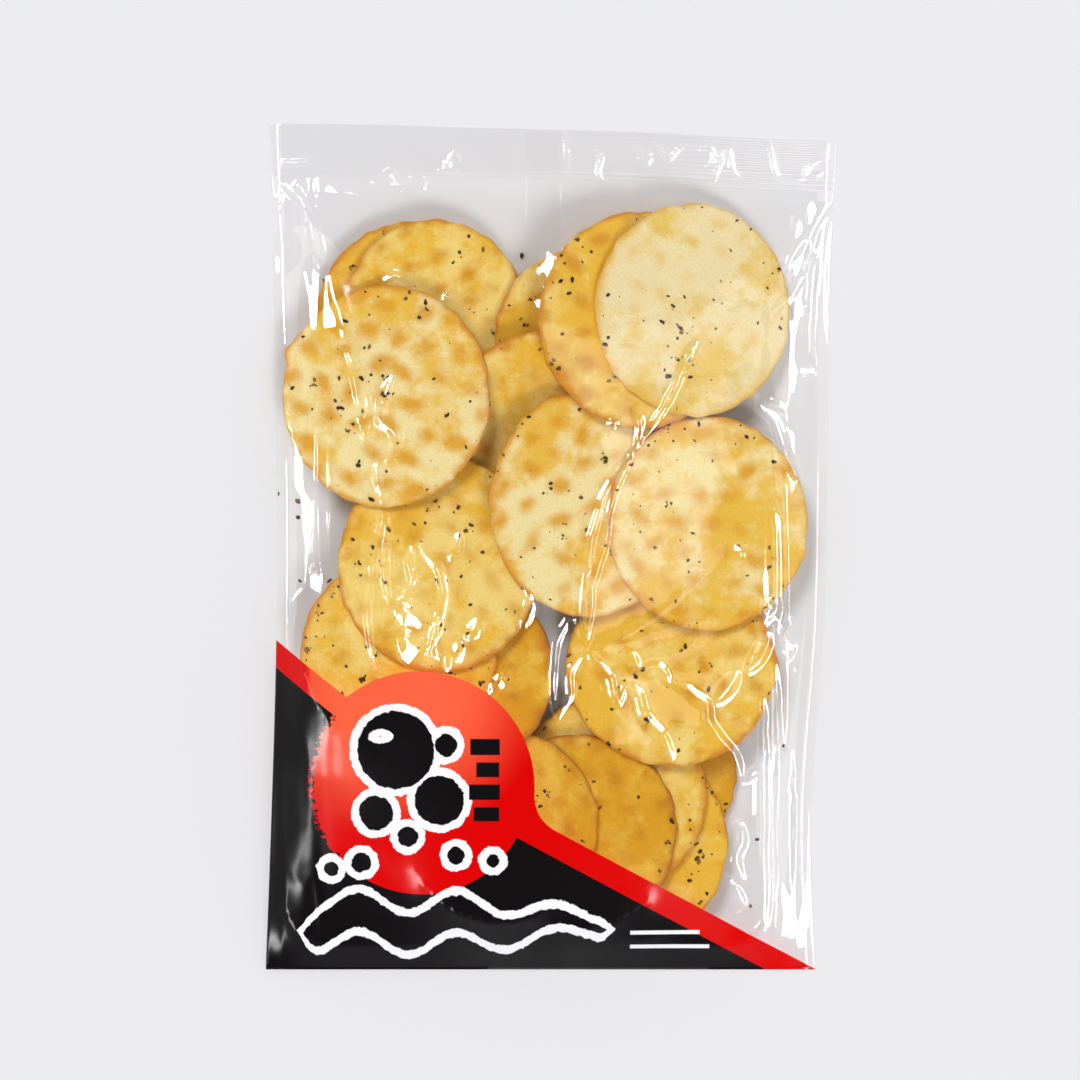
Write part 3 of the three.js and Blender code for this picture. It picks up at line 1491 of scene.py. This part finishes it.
@dataclass(frozen=True)
class Crease:
    """A crease in the film: a line that it follows, and how it stands up from the film.

    A ridge is a soft welt. A kink is the edge between two gently sloping facets. A tent has two flat
    flanks. The width is that of the flank on the left of the line, and the far width that of the other.
    """

    line: tuple[Point, ...]
    height: float
    width: float
    far_width: float | None = None
    fold: Fold = Fold.RIDGE
    batch: int = 20000

    def lift(self, x: Array, y: Array) -> Array:
        """How much the crease raises each place of the film.

        Args:
            x: Places across.
            y: Places along.

        Returns:
            The height that it adds at each place.
        """
        px, py, tx, ty = self._path()
        margin = max(self.width, self.far_width or 0) + 1
        near = (x > px.min() - margin) & (x < px.max() + margin)
        near &= (y > py.min() - margin) & (y < py.max() + margin)
        nx, ny = x[near], y[near]
        raised = np.zeros_like(nx)
        for start in range(0, len(nx), self.batch):
            part = slice(start, start + self.batch)
            dx = nx[part, None] - px[None, :]
            dy = ny[part, None] - py[None, :]
            k = np.argmin(dx * dx + dy * dy, axis=1)
            rows = np.arange(len(k))
            dist = np.hypot(dx[rows, k], dy[rows, k])
            side = tx[k] * dy[rows, k] - ty[k] * dx[rows, k]
            width = np.where(side > 0, self.width, self.far_width or self.width)
            along = k / (len(px) - 1)
            raised[part] = self._section(dist, width, np.clip(4 * along * (1 - along), 0, 1) ** 0.5)
        out = np.zeros_like(x)
        out[near] = raised
        return out

    def _path(self) -> tuple[Array, Array, Array, Array]:
        """Close places along the line, which wander a little to its sides, and its direction at each.

        Returns:
            The places across and along, and the direction across and along.
        """
        path = np.array(self.line, float)
        length = np.concatenate(([0], np.cumsum(np.hypot(*np.diff(path, axis=0).T))))
        at = np.linspace(0, length[-1], max(8, int(length[-1] / 0.7)))
        px, py = (smooth_line(at, list(length), list(path[:, k])) for k in range(2))
        wander = 0.35 * lumps(at, at * 0 + self.height * 31, 4.0, self.width)
        tx, ty = np.gradient(px), np.gradient(py)
        norm = np.hypot(tx, ty)
        tx, ty = tx / norm, ty / norm
        return px - ty * wander, py + tx * wander, tx, ty

    def _section(self, dist: Array, width: Array, taper: Array) -> Array:
        """Height across the crease, from its distance, the width on that side and the taper at its ends.

        Args:
            dist: Distances from the line.
            width: Width of the flank on that side.
            taper: From 0 at the line's ends to 1 in its middle.

        Returns:
            The height at each place.
        """
        if self.fold is Fold.RIDGE:
            return self.height * taper * ease(1 - dist / (width * (0.4 + 0.6 * taper)))
        if self.fold is Fold.TENT:
            return self.height * taper * np.clip(1 - dist / (width * taper + 0.01), 0, 1)
        return self.height * taper * np.clip(1 - dist / width, 0, 1) ** 1.5


@dataclass
class FilmBag:
    """The film itself: a closed tube of clear film, drawn taut over the pile and crimped at the head."""

    outline: Outline = field(default_factory=Outline)
    front_columns: int = 272
    back_columns: int = 40
    body_rows: int = 248
    seal_rows: int = 40
    ribs: int = 10
    rib_depth: float = 0.26
    puff: float = 0.00095
    clearance: float = 0.45
    sealed_gap: float = 0.12
    pleating: float = 0.6
    fold_inset: float = 6.0
    fold_share: float = 0.48
    fold_rise: float = 0.5
    weld: float = 0.0005
    tightening: tuple[tuple[int, int], ...] = ((8, 500), (4, 260), (2, 160), (1, 90))
    creases: list[Crease] = field(default_factory=list)

    def plan(self, across: Array, row: Array) -> tuple[Array, Array, Array]:
        """Places of the film seen from above.

        Args:
            across: From 0 at the left fold to 1 at the right fold.
            row: Row number from the foot.

        Returns:
            Places across and along, and the share of the seal passed.
        """
        cut = self.outline.cut_edge(across)
        seal_foot = cut - self.outline.seal_length
        in_seal = np.clip((row - self.body_rows) / self.seal_rows, 0, 1)
        y = np.where(
            row <= self.body_rows,
            FOOT + (seal_foot - FOOT) * np.minimum(row / self.body_rows, 1),
            seal_foot + self.outline.seal_length * in_seal,
        )
        along = np.clip((y - FOOT) / (HEAD - FOOT), 0, 1)
        left, right = self.outline.reach(along)
        return -left + (left + right) * across, y, in_seal

    def side_heights(self, heights: HeightMap, rows: int) -> tuple[Array, Array]:
        """Height of the left and the right fold at each row.

        Args:
            heights: What is in the bag.
            rows: Number of rows of points, from the foot to the head.

        Returns:
            The heights of the left fold, and those of the right one.
        """
        bell = np.hanning(37)
        bell /= bell.sum()
        found = []
        for across in (0.0, 1.0):
            x, y, _ = self.plan(np.full(rows, across), np.arange(rows, dtype=float))
            inward = x + (self.fold_inset if across == 0 else -self.fold_inset)
            under = self.outline.underside(x, y)
            near = np.maximum(self.fold_share * heights.at(inward, y) + self.fold_rise, under)
            smooth = np.convolve(np.pad(near, len(bell) // 2, "edge"), bell, "valid")
            sealed = ease((y - (HEAD - 42)) / 20)
            found.append(smooth * (1 - sealed) + under * sealed)
        return found[0], found[1]

    def build(
        self, heights: HeightMap, shown: bpy.types.Material, plain: bpy.types.Material
    ) -> bpy.types.Object:
        """Rolls a grid into the bag.

        Args:
            heights: What is in the bag.
            shown: Material of the shown film.
            plain: Material of the film underneath.

        Returns:
            The film.
        """
        rows = self.body_rows + self.seal_rows
        front = self._front(heights, rows)
        back = self._back(rows, front)
        sheet = np.concatenate((front, back[:, 1:]), axis=1)
        columns = self.front_columns + self.back_columns
        bm = bmesh.new()
        bmesh.ops.create_grid(bm, x_segments=columns, y_segments=rows, size=0.5)
        for vert in bm.verts:
            column, row = round((vert.co.x + 0.5) * columns), round((vert.co.y + 0.5) * rows)
            vert.co = Vector(sheet[row, column])
        for face in bm.faces:
            face.material_index = int(face.index % columns >= self.front_columns)
        bmesh.ops.remove_doubles(bm, verts=bm.verts, dist=self.weld)
        bmesh.ops.holes_fill(bm, edges=[e for e in bm.edges if e.is_boundary])
        bmesh.ops.triangulate(bm, faces=[f for f in bm.faces if len(f.verts) > 4])
        bmesh.ops.recalc_face_normals(bm, faces=bm.faces)
        if bm.calc_volume(signed=True) < 0:
            bmesh.ops.reverse_faces(bm, faces=bm.faces)
        piece = place_piece("film_bag", scaled_mesh("film_bag", bm), shown, plain, clear=True)
        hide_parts(BAG_NODE)
        return piece

    def _front(self, heights: HeightMap, rows: int) -> Array:
        """Places of the shown film, row by row from the foot.

        Args:
            heights: What is in the bag.
            rows: Number of rows of faces.

        Returns:
            The places, by row and column.
        """
        row, across = self._grid(rows, self.front_columns)
        x, y, in_seal = self.plan(across, row)
        under = self.outline.underside(x, y)
        rim = under + self.sealed_gap
        rim[:, 0], rim[:, -1] = self.side_heights(heights, rows + 1)
        pile = heights.at(x, y) + self.clearance
        body = slice(0, self.body_rows + 1)
        lowest = np.maximum(pile, under + 0.3)[body]
        film = rim.copy()
        film[body] = self._draw_taut(lowest, rim[body])
        film += self._crumple(x, y, across, row)
        faded = 0.15 + 0.85 * np.minimum(ease(across * 30), ease((1 - across) * 30))
        for crease in self.creases:
            film += crease.lift(x, y) * faded
        film[-1] = rim[-1]
        film[0] = rim[0]
        film += self._crimp(across, in_seal)
        return np.stack((x, y, film), axis=-1)

    def _crumple(self, x: Array, y: Array, across: Array, row: Array) -> Array:
        """Soft dents all over the film and fine pleats along its sides, fading out at the rim.

        Args:
            x: Places across.
            y: Places along.
            across: From 0 at the left fold to 1 at the right fold.
            row: Row number from the foot.

        Returns:
            The height that they add.
        """
        inset = np.minimum(ease(across * 14), ease((1 - across) * 14))
        inset *= ease(row / 10) * ease((self.body_rows - row) / 8)
        crumple = 0.9 + 0.75 * facets(x, y, 27, 3.0) + 0.16 * facets(x, y, 10, 8.0)
        to_side = np.minimum(across, 1 - across) * (HIGH.x - LOW.x)
        pleats = 1 - np.abs(lumps(x, y * 0.1 + 0.1 * x, 3.6, 6.0))
        crumple += self.pleating * pleats**2 * (1 - ease((to_side - 9) / 16)) * ease(to_side / 5)
        return crumple * inset

    def _back(self, rows: int, front: Array) -> Array:
        """Places of the film underneath, from the right fold round to the left one.

        Args:
            rows: Number of rows of faces.
            front: Places of the shown film.

        Returns:
            The places, by row and column.
        """
        row, turn = self._grid(rows, self.back_columns)
        across = 1 - turn
        x, y, in_seal = self.plan(across, row)
        z = self.outline.underside(x, y) + self._crimp(across, in_seal)
        folds = np.minimum(turn, 1 - turn)
        left, right = front[:, 0, 2:3], front[:, -1, 2:3]
        fold = np.where(turn < 0.5, right, left)
        pull = (1 - ease(folds * 7)) ** 1.5
        z = z + (fold - z) * pull
        z[:, 0], z[:, -1] = front[:, -1, 2], front[:, 0, 2]
        return np.stack((x, y, z), axis=-1)

    @staticmethod
    def _grid(rows: int, columns: int) -> tuple[Array, Array]:
        """Row number, and share of the way across from 0 to 1, of each point of a sheet."""
        row, across = np.meshgrid(np.arange(rows + 1.0), np.linspace(0, 1, columns + 1), indexing="ij")
        return row, across

    def _crimp(self, across: Array, in_seal: Array) -> Array:
        """Relief of the crimped ribs, which lie flatter towards the left end.

        Args:
            across: From 0 at the left fold to 1 at the right fold.
            in_seal: Share of the seal passed.

        Returns:
            The height that they add.
        """
        strength = self.rib_depth * (0.25 + 0.75 * ease((across - 0.4) / 0.15))
        wave = 0.5 - 0.5 * np.cos(in_seal * self.ribs * math.tau)
        return strength * wave * (in_seal > 0)

    def _draw_taut(self, lowest: Array, rim: Array) -> Array:
        """A membrane pinned at its rim and drawn over the pile, solved from coarse to fine.

        Args:
            lowest: The height under which the film can't go at each place.
            rim: The film's height along its edges.

        Returns:
            The film's heights.
        """
        film = None
        for step, passes in self.tightening:
            low, edge = lowest[::step, ::step], rim[::step, ::step]
            if film is None:
                film = np.maximum(low, edge)
            else:
                film = self._doubled(film)[: low.shape[0], : low.shape[1]]
            film[0], film[-1], film[:, 0], film[:, -1] = edge[0], edge[-1], edge[:, 0], edge[:, -1]
            air = self.puff * step * step
            for _ in range(passes):
                around = film[:-2, 1:-1] + film[2:, 1:-1] + film[1:-1, :-2] + film[1:-1, 2:]
                film[1:-1, 1:-1] = np.maximum(low[1:-1, 1:-1], around / 4 + air)
        return film

    @staticmethod
    def _doubled(film: Array) -> Array:
        """The same heights on a grid of half the spacing.

        Args:
            film: The heights.

        Returns:
            The finer heights.
        """
        tall = np.empty((film.shape[0] * 2 - 1, film.shape[1]))
        tall[::2] = film
        tall[1::2] = (film[1:] + film[:-1]) / 2
        wide = np.empty((tall.shape[0], tall.shape[1] * 2 - 1))
        wide[:, ::2] = tall
        wide[:, 1::2] = (tall[:, 1:] + tall[:, :-1]) / 2
        return wide


@dataclass
class FinSeal:
    """The crimped fin along the middle of the bag's back, folded flat against it."""

    left: float = -8.0
    right: float = 3.2
    head: float = 125.0
    foot: float = -118.0
    gauge: float = 0.12
    columns: int = 14
    rows: int = 260
    ribs: int = 7
    rib_height: float = 0.03
    lift: float = 0.2

    def build(self, outline: Outline, material: bpy.types.Material) -> bpy.types.Object:
        """Lays a ribbed strip along the back.

        Args:
            outline: The bag's outline.
            material: The fin's film.

        Returns:
            The fin.
        """
        bm = bmesh.new()
        bmesh.ops.create_grid(bm, x_segments=self.columns, y_segments=self.rows, size=0.5)
        for vert in bm.verts:
            x = self.left + (self.right - self.left) * (vert.co.x + 0.5)
            y = self.foot + (self.head - self.foot) * (vert.co.y + 0.5)
            rib = self.rib_height * math.sin((vert.co.x + 0.5) * self.ribs * math.tau)
            z = float(outline.underside(np.array(x), np.array(y))) - outline.floor_gap + self.lift + rib
            vert.co = Vector((x, y, z))
        bmesh.ops.recalc_face_normals(bm, faces=bm.faces)
        bmesh.ops.solidify(bm, geom=bm.faces, thickness=self.gauge)
        bmesh.ops.recalc_face_normals(bm, faces=bm.faces)
        return place_piece("fin_seal", scaled_mesh("fin_seal", bm), material, clear=True)


# ---------------------------------------------------------------- the studio


def skyward(azimuth: float, from_zenith: float) -> Vector:
    """The direction of a place in the sky, from its bearing and its angle from straight up."""
    a, e = math.radians(azimuth), math.radians(from_zenith)
    return Vector((math.cos(a) * math.sin(e), math.sin(a) * math.sin(e), math.cos(e)))


class Throw(Enum):
    """What a lamp's light falls on."""

    ALL = "all"
    GLOSS = "gloss"


@dataclass(frozen=True)
class Softbox:
    """A lamp with a flat glowing face, aimed at the bag."""

    name: str
    azimuth: float
    from_zenith: float
    width: float
    length: float
    glow: float = 34.0
    distance: float = 1.3
    throw: Throw = Throw.GLOSS

    def build(self, target: Vector) -> None:
        """Hangs the lamp.

        Args:
            target: The point that the lamp faces.
        """
        lamp = bpy.data.lights.new(self.name, "AREA")
        lamp.shape = "RECTANGLE"
        lamp.size, lamp.size_y = self.width, self.length
        lamp.energy = self.glow * math.pi * self.width * self.length
        holder = bpy.data.objects.new(self.name, lamp)
        bpy.context.scene.collection.objects.link(holder)
        away = skyward(self.azimuth, self.from_zenith)
        holder.location = target + away * self.distance
        holder.rotation_euler = away.to_track_quat("Z", "Y").to_euler()
        holder.visible_diffuse = self.throw is Throw.ALL


@dataclass(frozen=True)
class Daylight:
    """Soft even light from far off, which only matte surfaces show."""

    name: str
    azimuth: float
    from_zenith: float
    strength: float
    spread: float

    def build(self) -> None:
        """Sets up the light."""
        lamp = bpy.data.lights.new(self.name, "SUN")
        lamp.energy, lamp.angle = self.strength, math.radians(self.spread)
        holder = bpy.data.objects.new(self.name, lamp)
        bpy.context.scene.collection.objects.link(holder)
        holder.rotation_euler = skyward(self.azimuth, self.from_zenith).to_track_quat("Z", "Y").to_euler()
        holder.visible_glossy = False


@dataclass
class Studio:
    """Pale floor, soft lamps, a pale horizon and the camera that looks straight down."""

    centre: Vector = field(default_factory=lambda: Vector((-0.00345, 0.0021, 0.012)))
    view_width: float = 0.324
    camera_height: float = 1.7
    sensor: float = 36.0
    paper_half: float = 12.0
    aim_height: float = 0.01
    boxes: tuple[Softbox, ...] = (
        Softbox("key_right", 26, 54, 0.50, 0.38),
        Softbox("key_left", 144, 50, 0.36, 0.46),
        Softbox("strip_left", 214, 57, 0.36, 0.36),
        Softbox("strip_foot", 326, 53, 0.40, 0.42),
        Softbox("strip_head", 112, 50, 0.18, 0.20),
        Softbox("edge_right", 350, 52, 0.60, 0.11),
        Softbox("edge_left", 193, 56, 0.66, 0.10),
        Softbox("scrim_right", 12, 21, 0.9, 0.6, glow=1.1, distance=1.5, throw=Throw.ALL),
        Softbox("scrim_left", 200, 40, 0.5, 0.5, glow=1.0, distance=1.5, throw=Throw.ALL),
    )
    fills: tuple[Daylight, ...] = (
        Daylight("fill_head", 120, 32, 1.46, 20.0),
        Daylight("fill_foot", 290, 42, 1.36, 22.0),
    )
    air: tuple[tuple[float, Colour], ...] = (
        (0.0, (0.80, 0.80, 0.82)),
        (0.3, (0.7, 0.7, 0.72)),
        (0.55, (0.32, 0.32, 0.33)),
        (0.85, (0.1, 0.1, 0.105)),
    )

    def build(self) -> None:
        """Sets up everything that isn't the bag."""
        self._floor()
        for box in self.boxes:
            box.build(Vector((0, 0, self.aim_height)))
        for fill in self.fills:
            fill.build()
        self._horizon()
        self._camera()
        scene = bpy.context.scene
        scene.view_settings.view_transform = "Standard"
        scene.cycles.transparent_max_bounces = 32
        scene.cycles.max_bounces = 10

    def _floor(self) -> None:
        """Lays the paper."""
        bm = bmesh.new()
        bmesh.ops.create_grid(bm, x_segments=8, y_segments=8, size=self.paper_half)
        mesh = mesh_from("studio_floor", bm)
        mesh.materials.append(StudioPaper().make())
        floor = bpy.data.objects.new("studio_floor", mesh)
        bpy.context.scene.collection.objects.link(floor)

    def _horizon(self) -> None:
        """A sky that is pale at the horizon and dim overhead."""
        world = bpy.data.worlds.new("studio_air")
        bpy.context.scene.world = world
        g = Graph(world)
        place = g.node("ShaderNodeTexCoord").outputs["Generated"]
        split = g.node("ShaderNodeSeparateXYZ", None, {0: place})
        ramp = g.node("ShaderNodeValToRGB", {"stops": self.air}, {0: split.outputs["Z"]})
        glow = g.node("ShaderNodeBackground", None, {0: ramp.outputs[0]})
        g.node("ShaderNodeOutputWorld", None, {0: glow.outputs[0]})

    def _camera(self) -> None:
        """Looks straight down on the bag."""
        data = bpy.data.cameras.new("camera")
        camera = bpy.data.objects.new("camera", data)
        bpy.context.scene.collection.objects.link(camera)
        bpy.context.scene.camera = camera
        data.sensor_width = self.sensor
        data.lens = self.sensor * self.camera_height / self.view_width
        data.clip_end = 60.0
        camera.location = self.centre + Vector((0, 0, self.camera_height))


def creases() -> list[Crease]:
    """The creases of the shown film, by the part of the bag that they cross.

    Returns:
        The creases, in the order in which they are added up.
    """
    shoulder = [
        Crease(
            ((-84.0, 113.0), (-80, 109), (-76, 105), (-71.5, 97), (-69.0, 89), (-69.5, 85), (-66.5, 82)),
            1.2,
            2.1,
        ),
        Crease(((-77, 106), (-74.6, 104), (-74.3, 99), (-73.5, 94)), 0.7, 1.5),
        Crease(((-85.5, 112), (-84, 108), (-85, 105)), 0.6, 1.3),
        Crease(((-85, 116), (-78, 115.4), (-70, 115.8)), 0.9, 1.7),
        Crease(((-70, 115.8), (-64, 114.4), (-58, 112.8), (-50, 110), (-42, 106.8)), 0.6, 1.4),
        Crease(((-52, 111.5), (-48.5, 113), (-46.5, 110), (-43, 108), (-41, 112.5)), 0.7, 1.4),
        Crease(((-38.5, 111.5), (-37, 109), (-38, 107.8)), 0.7, 1.5),
        Crease(((-36, 112), (-32, 113.5), (-29, 118), (-27.5, 115)), 0.6, 1.3),
        Crease(((-33, 117), (-30.5, 114), (-27, 111)), 0.6, 1.2),
        Crease(((-66.5, 82), (-64, 72), (-61, 62), (-57.8, 46), (-56, 32)), 0.7, 2.6),
    ]
    left = [
        Crease(((-57.7, 56), (-56, 48), (-54.6, 43), (-54.8, 37), (-56, 31)), 0.9, 1.8),
        Crease(
            ((-51.5, 17), (-50.8, 9), (-51.8, 1), (-53, -9), (-54.8, -18), (-53.6, -30), (-51.5, -37)),
            1.0,
            1.7,
        ),
        Crease(((-51.5, 17), (-49.6, 9), (-49, -1), (-49.6, -9), (-48, -17)), 1.2, 1.9),
        Crease(
            ((-47.2, 51), (-49.6, 45), (-51, 38), (-48.5, 36.5), (-46, 34), (-46.8, 29), (-50, 24.5)),
            1.4,
            2.6,
            2.8,
            Fold.TENT,
        ),
        Crease(((-50.2, 80), (-47, 80.8), (-44, 79.5), (-40.5, 77)), 1.1, 2.2, 2.2, Fold.TENT),
        Crease(((-32, 76), (-30.5, 74.8)), 0.8, 2.0),
        Crease(((-52, 24), (-51.6, 17)), 1.0, 2.0),
    ]
    middle = [
        Crease(((43.5, 62), (39, 53), (34.5, 43.5), (27.2, 32.5), (24.6, 29)), 1.0, 1.8),
        Crease(
            ((24.6, 29), (20, 22.5), (15.7, 15.5), (12.8, 6), (11, -2), (9.5, -16), (9.7, -31)),
            1.2,
            2.0,
        ),
        Crease(
            ((24.6, 29), (18.5, 15.5), (16.6, 7.5), (15, -2.5), (12.6, -9), (11.6, -20), (9.9, -31)),
            1.1,
            1.8,
        ),
        Crease(((24, 41), (26, 38.5), (26.4, 35), (24.6, 29)), 1.0, 1.9),
        Crease(((18, 38.5), (18.6, 34.5)), 1.2, 2.3, 2.3, Fold.TENT),
        Crease(
            ((9.9, -31), (7.4, -26), (5.2, -21.5), (2, -26), (0.4, -35), (0.3, -42), (1.7, -52)),
            1.0,
            1.9,
        ),
        Crease(((1.7, -52), (3, -48), (5.2, -44), (5.6, -37), (9.9, -31)), 1.0, 1.9),
        Crease(((9.9, -31), (14, -35), (17, -39), (18.5, -44), (19.5, -48)), 1.2, 2.1),
        Crease(
            (
                (19.5, -48), (21, -44), (22.2, -41.5), (25, -43),
                (26.4, -47), (29, -52), (33, -56), (36.2, -63),
            ),
            1.3,
            2.3,
        ),
        Crease(((20.4, -32.5), (23, -32), (26.4, -36.4), (31, -36), (36, -40)), 1.3, 2.4),
        Crease(
            ((36, -40), (41.7, -43.5), (45.5, -46.5), (46.8, -52), (50.4, -57.5), (55, -63), (56.4, -69.5)),
            1.3,
            2.3,
        ),
        Crease(((56.4, -69.5), (62, -67), (64.8, -62.5), (66, -67)), 1.0, 2.0),
        Crease(((9.9, -31), (30, -22), (44, -10), (56, 0)), 1.1, 5.0, 12.0, Fold.KINK),
        Crease(((9.9, -31), (22, -31), (30, -27.6), (43.5, -24)), 0.5, 1.2, 6.0, Fold.KINK),
    ]
    lower = [
        Crease(((-45, -15), (-40, -20), (-32.5, -25)), 2.3, 3.2, 6.8, Fold.TENT),
        Crease(((-45, -25), (-39.5, -29.5), (-33, -33.5)), 2.2, 3.0, 6.6, Fold.TENT),
        Crease(((-41.2, 0.5), (-42.5, -4.5), (-41.5, -10), (-44.5, -14)), 1.1, 1.9),
        Crease(
            ((-39.4, 2), (-37.5, -1.5), (-34.3, -5.5), (-32.2, -11), (-32.8, -19), (-35, -27), (-36.6, -37)),
            1.2,
            2.1,
        ),
        Crease(((-27, 4.5), (-28, 0.5), (-30.5, -5)), 1.2, 2.3, 2.5, Fold.TENT),
        Crease(((-21, -21.5), (-23.5, -26), (-24.5, -30)), 1.5, 2.9, 3.0, Fold.TENT),
        Crease(((-26, -28.5), (-29, -33), (-30, -37.5)), 1.6, 3.1, 3.2, Fold.TENT),
        Crease(((-7.6, -12), (-6.9, -19), (-9.3, -25.5)), 1.3, 2.5, 2.6, Fold.TENT),
        Crease(((-14.8, -37.5), (-16.5, -41), (-17.5, -44.5)), 1.4, 2.7, 2.8, Fold.TENT),
    ]
    right = [
        Crease(((85, 105), (79, 96), (74, 90), (69, 82)), 0.9, 1.9),
        Crease(((84, 100), (78, 86), (71, 75), (66, 70)), 0.8, 1.7),
        Crease(((82, 98), (80.5, 80), (79.5, 62), (80, 50)), 0.9, 1.8),
        Crease(((79, 96), (77, 84), (76.5, 72)), 0.7, 1.6),
        Crease(((61, 42), (67, 37.5), (68, 33.5), (70.6, 26), (74.5, 19)), 1.0, 1.9),
        Crease(((64, 44), (70.5, 40.5)), 0.8, 1.6),
        Crease(((63.5, -15.6), (67.6, -17.5), (64.4, -21), (63.5, -15.6)), 0.8, 1.5),
        Crease(((62, -28), (59.5, -36), (62, -34), (64.5, -27), (62, -28)), 1.0, 1.8),
        Crease(((67.5, -23), (71.5, -22), (70, -28), (74, -30), (71, -34), (68, -31)), 0.8, 1.6),
        Crease(((48.5, -46.5), (52.5, -42), (56, -37.5)), 1.35, 2.7, 2.9, Fold.TENT),
        Crease(((56, -82), (57, -88), (55, -93), (57.5, -100)), 1.2, 2.4),
        Crease(((51, -99), (55, -103), (58, -108)), 1.1, 2.2),
        Crease(((63.5, -46), (63.2, -70), (63.5, -95), (64, -122)), 0.8, 1.6),
        Crease(((67.5, -40), (67.9, -66), (67.5, -92), (67.8, -122)), 0.8, 1.6),
        Crease(((73, -60), (74, -85), (73.5, -110)), 0.8, 2.2),
    ]
    seal = [
        Crease(((3, 126), (4.2, 120), (4.6, 113)), 0.6, 1.1),
        Crease(((13, 120), (14.6, 117), (13.8, 113), (17, 108)), 0.7, 1.2),
        Crease(
            ((21, 121), (26, 119), (29.5, 117.5), (28.5, 115), (26.5, 116.5), (29.5, 117.5)),
            0.7,
            1.2,
        ),
        Crease(((29, 122), (32.5, 119), (35, 116.5), (38, 119.5), (41.5, 121.5)), 0.7, 1.2),
        Crease(((44, 118), (47, 120), (50, 116), (53, 119), (54, 114), (57, 110.5)), 0.9, 1.5),
        Crease(((46, 113), (50, 116), (48.5, 109)), 0.8, 1.4),
        Crease(
            ((64.8, 123.5), (66, 118), (69, 110.5), (74.5, 110.5), (78, 114.5), (83.5, 117.5)),
            0.8,
            1.4,
        ),
        Crease(((76, 113), (79, 111), (82, 113)), 0.7, 1.2),
    ]
    return shoulder + left + middle + lower + right + seal


def main() -> None:
    """Builds the bag from the inside out, then the studio."""
    logging.basicConfig(level=logging.INFO, format="%(name)s: %(message)s")
    outline = Outline()
    heights = HeightMap()
    heights.raise_to(outline.underside(heights.x, heights.y), np.full(heights.x.shape, True))
    tray = Tray()
    tray.add_to(heights)
    pile = Pile()
    pile.settle(heights)
    pile.build()
    PepperGrains().build(pile, heights, PepperSkin().make())
    tray.build(Plastic.TRAY.value.make())
    plain = Plastic.FILM.value.make()
    film = FilmBag(outline=outline, creases=creases())
    film.build(heights, CornerPrint().make(), plain)
    FinSeal().build(outline, Plastic.FIN.value.make())
    Studio().build()
    log.info("height of the pile: %.1f mm", heights.top.max())


if __name__ == "__main__":
    main()
